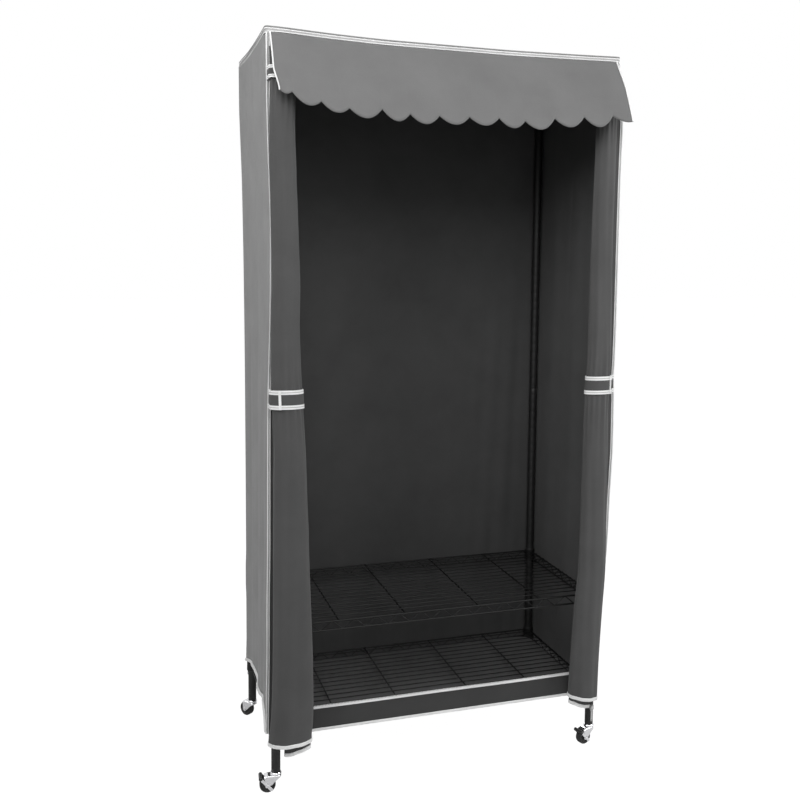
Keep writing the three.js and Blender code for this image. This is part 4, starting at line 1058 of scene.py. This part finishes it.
def rollPoint(side, turns, z, sizes, lift=0.0):
    # plan of the roll at one height: an oval that tightens as it winds; turn 0 is at the rear, 0.25 at the
    # inner side, 0.5 at the front, 0.75 at the outer side; before turn 0 the sheet runs to the corner strip;
    # the second layer lies flush at the inner side
    flare = 1 - np.clip((z - sizes["foot"]) / (sizes["top"] - sizes["foot"]), 0, 1)
    narrow, more, power = sizes["width"][side]
    width = narrow + more * flare ** power
    room = valanceLean(z, valanceSizes) - sizes["valanceGap"] - sizes["standoff"]
    slim, fuller, sharp = sizes["depth"]
    depth = np.minimum(slim + fuller * flare ** sharp, sizes["valanceShare"] * room)
    depth = depth * sizes["slimShare"][side]
    tighter = sizes["tightShare"] * depth / sizes["turns"][side]
    middleX = readTable(z, sizes["outer"][side]) + tighter / 4 - width / 2
    middleY = -rackSizes["halfDepth"] - sizes["standoff"] - depth / 2
    wound = np.maximum(turns, 0)
    angle = np.pi * (0.5 - 2 * wound)
    wave = sum(height * np.sin(count * angle + lean * z + phase * side)
               for height, count, lean, phase in sizes["waves"])
    grip = sum(np.exp(-((z - height) / reach) ** 2) for height, reach in sizes["grips"])
    gather = sizes["gather"] * grip * np.sin(sizes["gatherCount"] * angle + sizes["gatherPhase"] * side)
    away = lift + (wave + gather) * smooth(wound / sizes["waveEase"]) * (lift == 0)
    flush = sizes["flushShare"] * tighter * smooth((wound - sizes["flushFrom"]) / sizes["flushEase"])
    x = middleX - flush - ((width + tighter) / 2 - tighter * wound + away) * np.cos(angle)
    y = middleY + (depth / 2 - tighter * wound + away) * np.sin(angle)
    straight = np.clip(-turns / sizes["tail"], 0, 1)
    startX = readTable(z, coverSizes["frontEdge"][side]) - sizes["tailIn"]
    startY = sizes["tailBehind"] - rackSizes["halfDepth"]
    x = np.where(turns < 0, middleX + (startX - middleX) * straight, x)
    y = np.where(turns < 0, (middleY + depth / 2) * (1 - straight) + startY * straight, y)
    return side * x, y


def flapSurface(side, sizes):
    # u runs from the corner strip round the roll to the free edge, v from top to hem; inner layers drop
    u, v = gridOf(*sizes["grid"])
    turns = (sizes["turns"][side] + sizes["tail"]) * u - sizes["tail"]
    z = sizes["top"] + (sizes["foot"] - sizes["top"]) * v
    x, y = rollPoint(side, turns, z, sizes)
    inner = (1 + np.sin(2 * np.pi * np.maximum(turns, 0))) / 2
    drop = sizes["innerDrop"] * smooth((turns - sizes["innerFrom"]) / sizes["innerEase"])
    drop = drop + sizes["endDrop"][side] * smooth((turns - sizes["endFrom"]) / sizes["endEase"])
    drop = drop - sizes["tilt"][side] * inner ** sizes["tiltPower"]
    points = stacked(x, y, z - drop * smooth(1 - (z - sizes["foot"]) / sizes["innerReach"]))
    crease = creases(u / 2, v, *sizes["creases"][side])
    crease = crease * smooth((turns - sizes["creaseFrom"]) / sizes["creaseEase"])
    angle = np.pi * (0.5 - 2 * turns)
    return points + crease[..., None] * stacked(-side * np.cos(angle), np.sin(angle), 0)


for name, side in sides.items():
    points = flapSurface(side, rollSizes)
    part = patch(points)
    if side < 0:
        # the left roll's tail, on its way to the corner strip, takes the darker inside cloth: painted shade
        # in the gap
        shadedTailRows = int(len(points) * rollSizes["tail"] / (rollSizes["turns"][side] + rollSizes["tail"]))
        part["slot"] = (np.arange(len(part["faces"])) < shadedTailRows * (points.shape[1] - 1)).astype(int)
    piece = makePiece(f"{name}_flap_roll", [part], [cloths["flap"], cloths["inside"]],
                      [f"{name}_flap"])
    thicken(piece, rollSizes["cloth"])
    hem = tapeAlong(points[::2, -1] + [0, 0, rollSizes["hemLift"]], (0, 0, 1), rollSizes["hemTape"],
                    rollSizes["hemThickness"])
    makePiece(f"{name}_flap_hem_tape", [hem], [cloths["tape"]])
print("flaps rolled")

strapSizes = {
    # turns of the roll at which the loose strap starts and ends, and at which the tab starts and ends
    "start": 0.08, "end": 0.66, "tabStart": 0.8, "tabEnd": {-1: 0.56, 1: 0.617},
    # the tab's straight share, how far it stands off the strap, and where it is sewn on
    "straightShare": 0.3, "tabLift": 2.6, "sewnIn": 4.0, "sewnBefore": 2.4,
    # foot and top of the middle strap, then of the upper one
    "heights": {-1: [(943.5, 986), (1686, 1714)], 1: [(952, 996), (1686, 1714)]},
    # each layer as (lift off the cloth, thickness, material)
    "layers": {"web": (1.4, 1.3, 0), "binding": (1.1, 2.2, 1), "seam": (1.1, 2.4, 2), "end": (0.9, 2.8, 1)},
    "bindingWidth": 3.4, "bindingShare": 0.13, "bindingProud": 0.6, "seamWidth": 1.4,
    "endShare": 0.93, "endProud": 0.8, "steps": 60, "endSteps": 6,
}


def strapPlan(side, share, z, lift, sizes):
    # the loose strap starts behind the roll and passes round its front
    return rollPoint(side, sizes["start"] + (sizes["end"] - sizes["start"]) * share, z, rollSizes, lift)


def tabPlan(side, share, z, lift, sizes):
    # the sewn tab leaves the corner strip straight for the roll's outer side, then lies round it over the
    # strap
    start, free = sizes["tabStart"], sizes["straightShare"]
    turn = start + (sizes["tabEnd"][side] - start) * np.clip((share - free) / (1 - free), 0, 1)
    x, y = rollPoint(side, turn, z, rollSizes, lift + sizes["tabLift"])
    straight = smooth(1 - share / free)
    sewnX = side * (readTable(z, coverSizes["frontEdge"][side]) - sizes["sewnIn"] + lift)
    sewnY = -rackSizes["halfDepth"] - sizes["sewnBefore"]
    return x + (sewnX - x) * straight, y + (sewnY - y) * straight


def strapBand(plan, side, low, high, layer, sizes, shares):
    # a closed flat section carried along a plan: inner face at one lift off the cloth, outer face beyond it
    lift, thickness, slot = sizes["layers"][layer]
    share, raised = np.meshgrid(shares, lift + thickness * np.array([0, 1, 1, 0]), indexing="ij")
    z = np.broadcast_to(np.array([low, low, high, high], float), share.shape)
    x, y = plan(side, share, z, raised, sizes)
    return patch(stacked(x, y, z), closedV=True, slot=slot)


def rollStraps(side, sizes):
    # webs of strap and tab, their bound edges with a line of stitches along each, and the tab's bound end
    whole, end = np.linspace(0, 1, sizes["steps"]), np.linspace(sizes["endShare"], 1, sizes["endSteps"])
    proud, endProud, stitch = sizes["bindingProud"], sizes["endProud"], sizes["seamWidth"] / 2
    parts = []
    for low, high in sizes["heights"][side]:
        wide = sizes["bindingWidth"] + sizes["bindingShare"] * (high - low)
        for plan in (strapPlan, tabPlan):
            parts.append(strapBand(plan, side, low, high, "web", sizes, whole))
            for foot, head in ((low - proud, low + wide), (high - wide, high + proud)):
                seam = (foot + head) / 2
                parts.append(strapBand(plan, side, foot, head, "binding", sizes, whole))
                parts.append(strapBand(plan, side, seam - stitch, seam + stitch, "seam", sizes, whole))
        parts.append(strapBand(tabPlan, side, low - endProud, high + endProud, "end", sizes, end))
    return parts


for name, side in sides.items():
    makePiece(f"{name}_roll_straps", rollStraps(side, strapSizes),
              [cloths["flap"], cloths["tape"], cloths["greyTapeAndShade"]],
              [f"{name}_middle_strap", f"{name}_upper_strap"])
print("straps buckled")


# bound edges: corner strips and hems

edgeSizes = {
    "hemTape": 8.0, "thickness": 2.6, "flare": 3.0, "flareSlope": 0.6, "drop": 1.0, "backProud": 0.6,
    "stripTop": 1790.0, "stripGap": 2.0, "stripProud": 0.9, "stripSteps": 160,
    # the strip's stripes as (distance in from the corner, width, thickness, material), and how much wider
    # they get above a height
    # the middle stripe's grey material is painted shade: the shaded side of the white binding's fold
    "stripes": [(0.2, 2.8, 2.6, 0), (3.0, 2.8, 2.0, 1), (5.8, 2.2, 2.6, 0)],
    "widerShare": 0.4, "widerFrom": 1640.0, "widerEase": 60.0,
}


def cornerStrip(side, sizes):
    # striped tape down a side's front edge, one band for each stripe; the middle band's grey is painted
    # shade
    foot = coverSizes["hem"][side][0][1] - sizes["stripGap"]
    z = np.linspace(sizes["stripTop"], foot, sizes["stripSteps"])
    edge = readTable(z, coverSizes["frontEdge"][side])
    wider = 1 + sizes["widerShare"] * smooth((z - sizes["widerFrom"]) / sizes["widerEase"])
    front = -rackSizes["halfDepth"] - sizes["stripProud"]
    return [tapeAlong(stacked(side * (edge - inward * wider), front, z), (-side, 0, 0), width * wider,
                      thickness, slot=slot) for inward, width, thickness, slot in sizes["stripes"]]


def hemTapes(sizes):
    # a side's hem turns out a little, so its tape leans away from the cloth
    tapes = []
    for side in sides.values():
        foot = sideSurface(side, coverSizes["sideHemGrid"], coverSizes)[:, -1]
        tapes.append(tapeAlong(foot + [side * sizes["flare"], 0, -sizes["drop"]],
                               (-side * sizes["flareSlope"], 0, 1), sizes["hemTape"], sizes["thickness"]))
    foot = backSurface(coverSizes)[:, -1] - [0, sizes["backProud"], 0]
    return tapes + [tapeAlong(foot, (0, 0, 1), sizes["hemTape"], sizes["thickness"])]


for name, side in sides.items():
    makePiece(f"{name}_corner_strip", cornerStrip(side, edgeSizes), [cloths["tape"], cloths["greyTapeAndShade"]])
makePiece("cover_hem_tape", hemTapes(edgeSizes), [cloths["tape"]])
print("edges bound")


# the cover's floor panel

linerSizes = {"lift": 2.4, "halfX": 421.3, "halfY": 196.4, "cloth": 0.8, "wave": 0.25, "waves": 33,
              # how much the corners are cut back, as shares, and how sharply
              "cutShares": (0.03, 0.06), "cutPowers": (14, 28), "grid": (120, 60)}


def linerSurface(sizes):
    # laid on the lower wires of the bottom shelf's frame, inside its zigzags, and cut back at the corners
    # to clear the posts and collars; small waves run across it
    u, v = gridOf(*sizes["grid"])
    a, b = 2 * u - 1, 2 * v - 1
    (cutX, cutY), (powerX, powerY) = sizes["cutShares"], sizes["cutPowers"]
    lowerWire = boxHeights("bottom_shelf")[1] - shelfSizes["matWire"] - shelfSizes["frameWire"] / 2
    wave = sizes["wave"] * np.sin(2 * math.pi * sizes["waves"] * u) * np.sin(math.pi * v)
    return stacked(sizes["halfX"] * a * (1 - cutX * b ** powerX),
                   sizes["halfY"] * b * (1 - cutY * a ** powerY),
                   lowerWire - shelfSizes["trussHeight"] + sizes["lift"] + wave)


# the panel's cloth is the inside coating made lighter: painted light under the bottom shelf
piece = makePiece("bottom_liner", [patch(linerSurface(linerSizes), facing=(0, 0, 1))], [cloths["floor"]])
thicken(piece, linerSizes["cloth"])
print("liner laid")


# materials of the CAD nodes that stay

slotMaterials = {"post_enamel": blackTube, "shelf_enamel": blackWire, "black_plastic": blackPlastic,
                 "chrome": chromePlate, "wheel_rubber": wheelRubber, "zip_metal": zipAlloy,
                 "grey_cloth": cloths["side"], "dark_cloth": cloths["flap"], "binding": cloths["tape"]}
slotOfNode = {row["node"]: row["material_slot"] for row in frame["record"]["subparts"]}
for node, piece in frame["nodes"].items():
    piece.data.materials.clear()
    piece.data.materials.append(slotMaterials[slotOfNode[node]])
print("remaining nodes painted")


# floor, backdrop and lights

stageSizes = {"floorHalf": 30.0, "floorTone": "#f2f2f2", "floorShare": 0.88, "floorGlow": 1.13,
              "worldLight": 0.08,
              "lamps": {"left_lamp": {"place": (-1.9, -1.0, 2.25), "power": 26.0},
                        "upper_lamp": {"place": (-0.4, -1.85, 2.6), "power": 27.0},
                        "front_lamp": {"place": (0.2, -2.8, 1.9), "power": 7.0},
                        "right_lamp": {"place": (2.1, -1.2, 1.9), "power": 38.0},
                        "rear_left_lamp": {"place": (-1.9, 1.4, 2.2), "power": 12.0},
                        "rear_right_lamp": {"place": (1.6, 2.3, 2.2), "power": 40.0}},
              "lampSize": 1.2, "target": (0.0, 0.0, 1.2)}


def makeStage(sizes):
    # a pale floor that shows as white to the camera but keeps part of the shadow
    floorMaterial = newMaterial("studio_floor_paper")
    path = addNode(floorMaterial, "ShaderNodeLightPath")
    matt = addNode(floorMaterial, "ShaderNodeBsdfDiffuse", {"Color": hexColour(sizes["floorTone"])})
    white = addNode(floorMaterial, "ShaderNodeEmission",
                    {"Color": (1, 1, 1, 1), "Strength": sizes["floorGlow"]})
    seen = addNode(floorMaterial, "ShaderNodeMath", {0: (path, "Is Camera Ray"), 1: sizes["floorShare"]},
                   operation="MULTIPLY")
    both = addNode(floorMaterial, "ShaderNodeMixShader", {0: (seen, "Value"), 1: (matt, "BSDF"),
                                                          2: (white, "Emission")})
    addNode(floorMaterial, "ShaderNodeOutputMaterial", {"Surface": (both, "Shader")})
    half = sizes["floorHalf"]
    mesh = bpy.data.meshes.new("studio_floor")
    mesh.from_pydata([(-half, -half, 0), (half, -half, 0), (half, half, 0), (-half, half, 0)], [],
                     [(0, 1, 2, 3)])
    mesh.materials.append(floorMaterial)
    floor = bpy.data.objects.new("studio_floor", mesh)
    bpy.context.scene.collection.objects.link(floor)

    world = bpy.data.worlds.new("studio_world")
    world.use_nodes = True
    world.node_tree.nodes.clear()
    path = addNode(world, "ShaderNodeLightPath")
    shown = addNode(world, "ShaderNodeMath", {0: (path, "Is Camera Ray"), 1: (path, "Is Glossy Ray")},
                    operation="MAXIMUM")
    shown = addNode(world, "ShaderNodeMath", {0: (shown, "Value"), 1: (path, "Is Transmission Ray")},
                    operation="MAXIMUM")
    strength = addNode(world, "ShaderNodeMapRange", {"Value": (shown, "Value"),
                                                     "To Min": sizes["worldLight"], "To Max": 1.0})
    sky = addNode(world, "ShaderNodeBackground", {"Color": (1, 1, 1, 1), "Strength": (strength, "Result")})
    addNode(world, "ShaderNodeOutputWorld", {"Surface": (sky, "Background")})
    bpy.context.scene.world = world


def makeLamp(name, place, power, sizes):
    # a square lamp that faces the target
    lamp = bpy.data.objects.new(name, bpy.data.lights.new(name, "AREA"))
    lamp.data.shape = "SQUARE"
    lamp.data.size = sizes["lampSize"]
    lamp.data.energy = power
    lamp.location = place
    lamp.rotation_mode = "QUATERNION"
    lamp.rotation_quaternion = (Vector(sizes["target"]) - Vector(place)).to_track_quat("-Z", "Y")
    bpy.context.scene.collection.objects.link(lamp)


makeStage(stageSizes)
for name, lamp in stageSizes["lamps"].items():
    makeLamp(name, **lamp, sizes=stageSizes)
bpy.context.scene.view_settings.view_transform = "Standard"
print("stage lit")
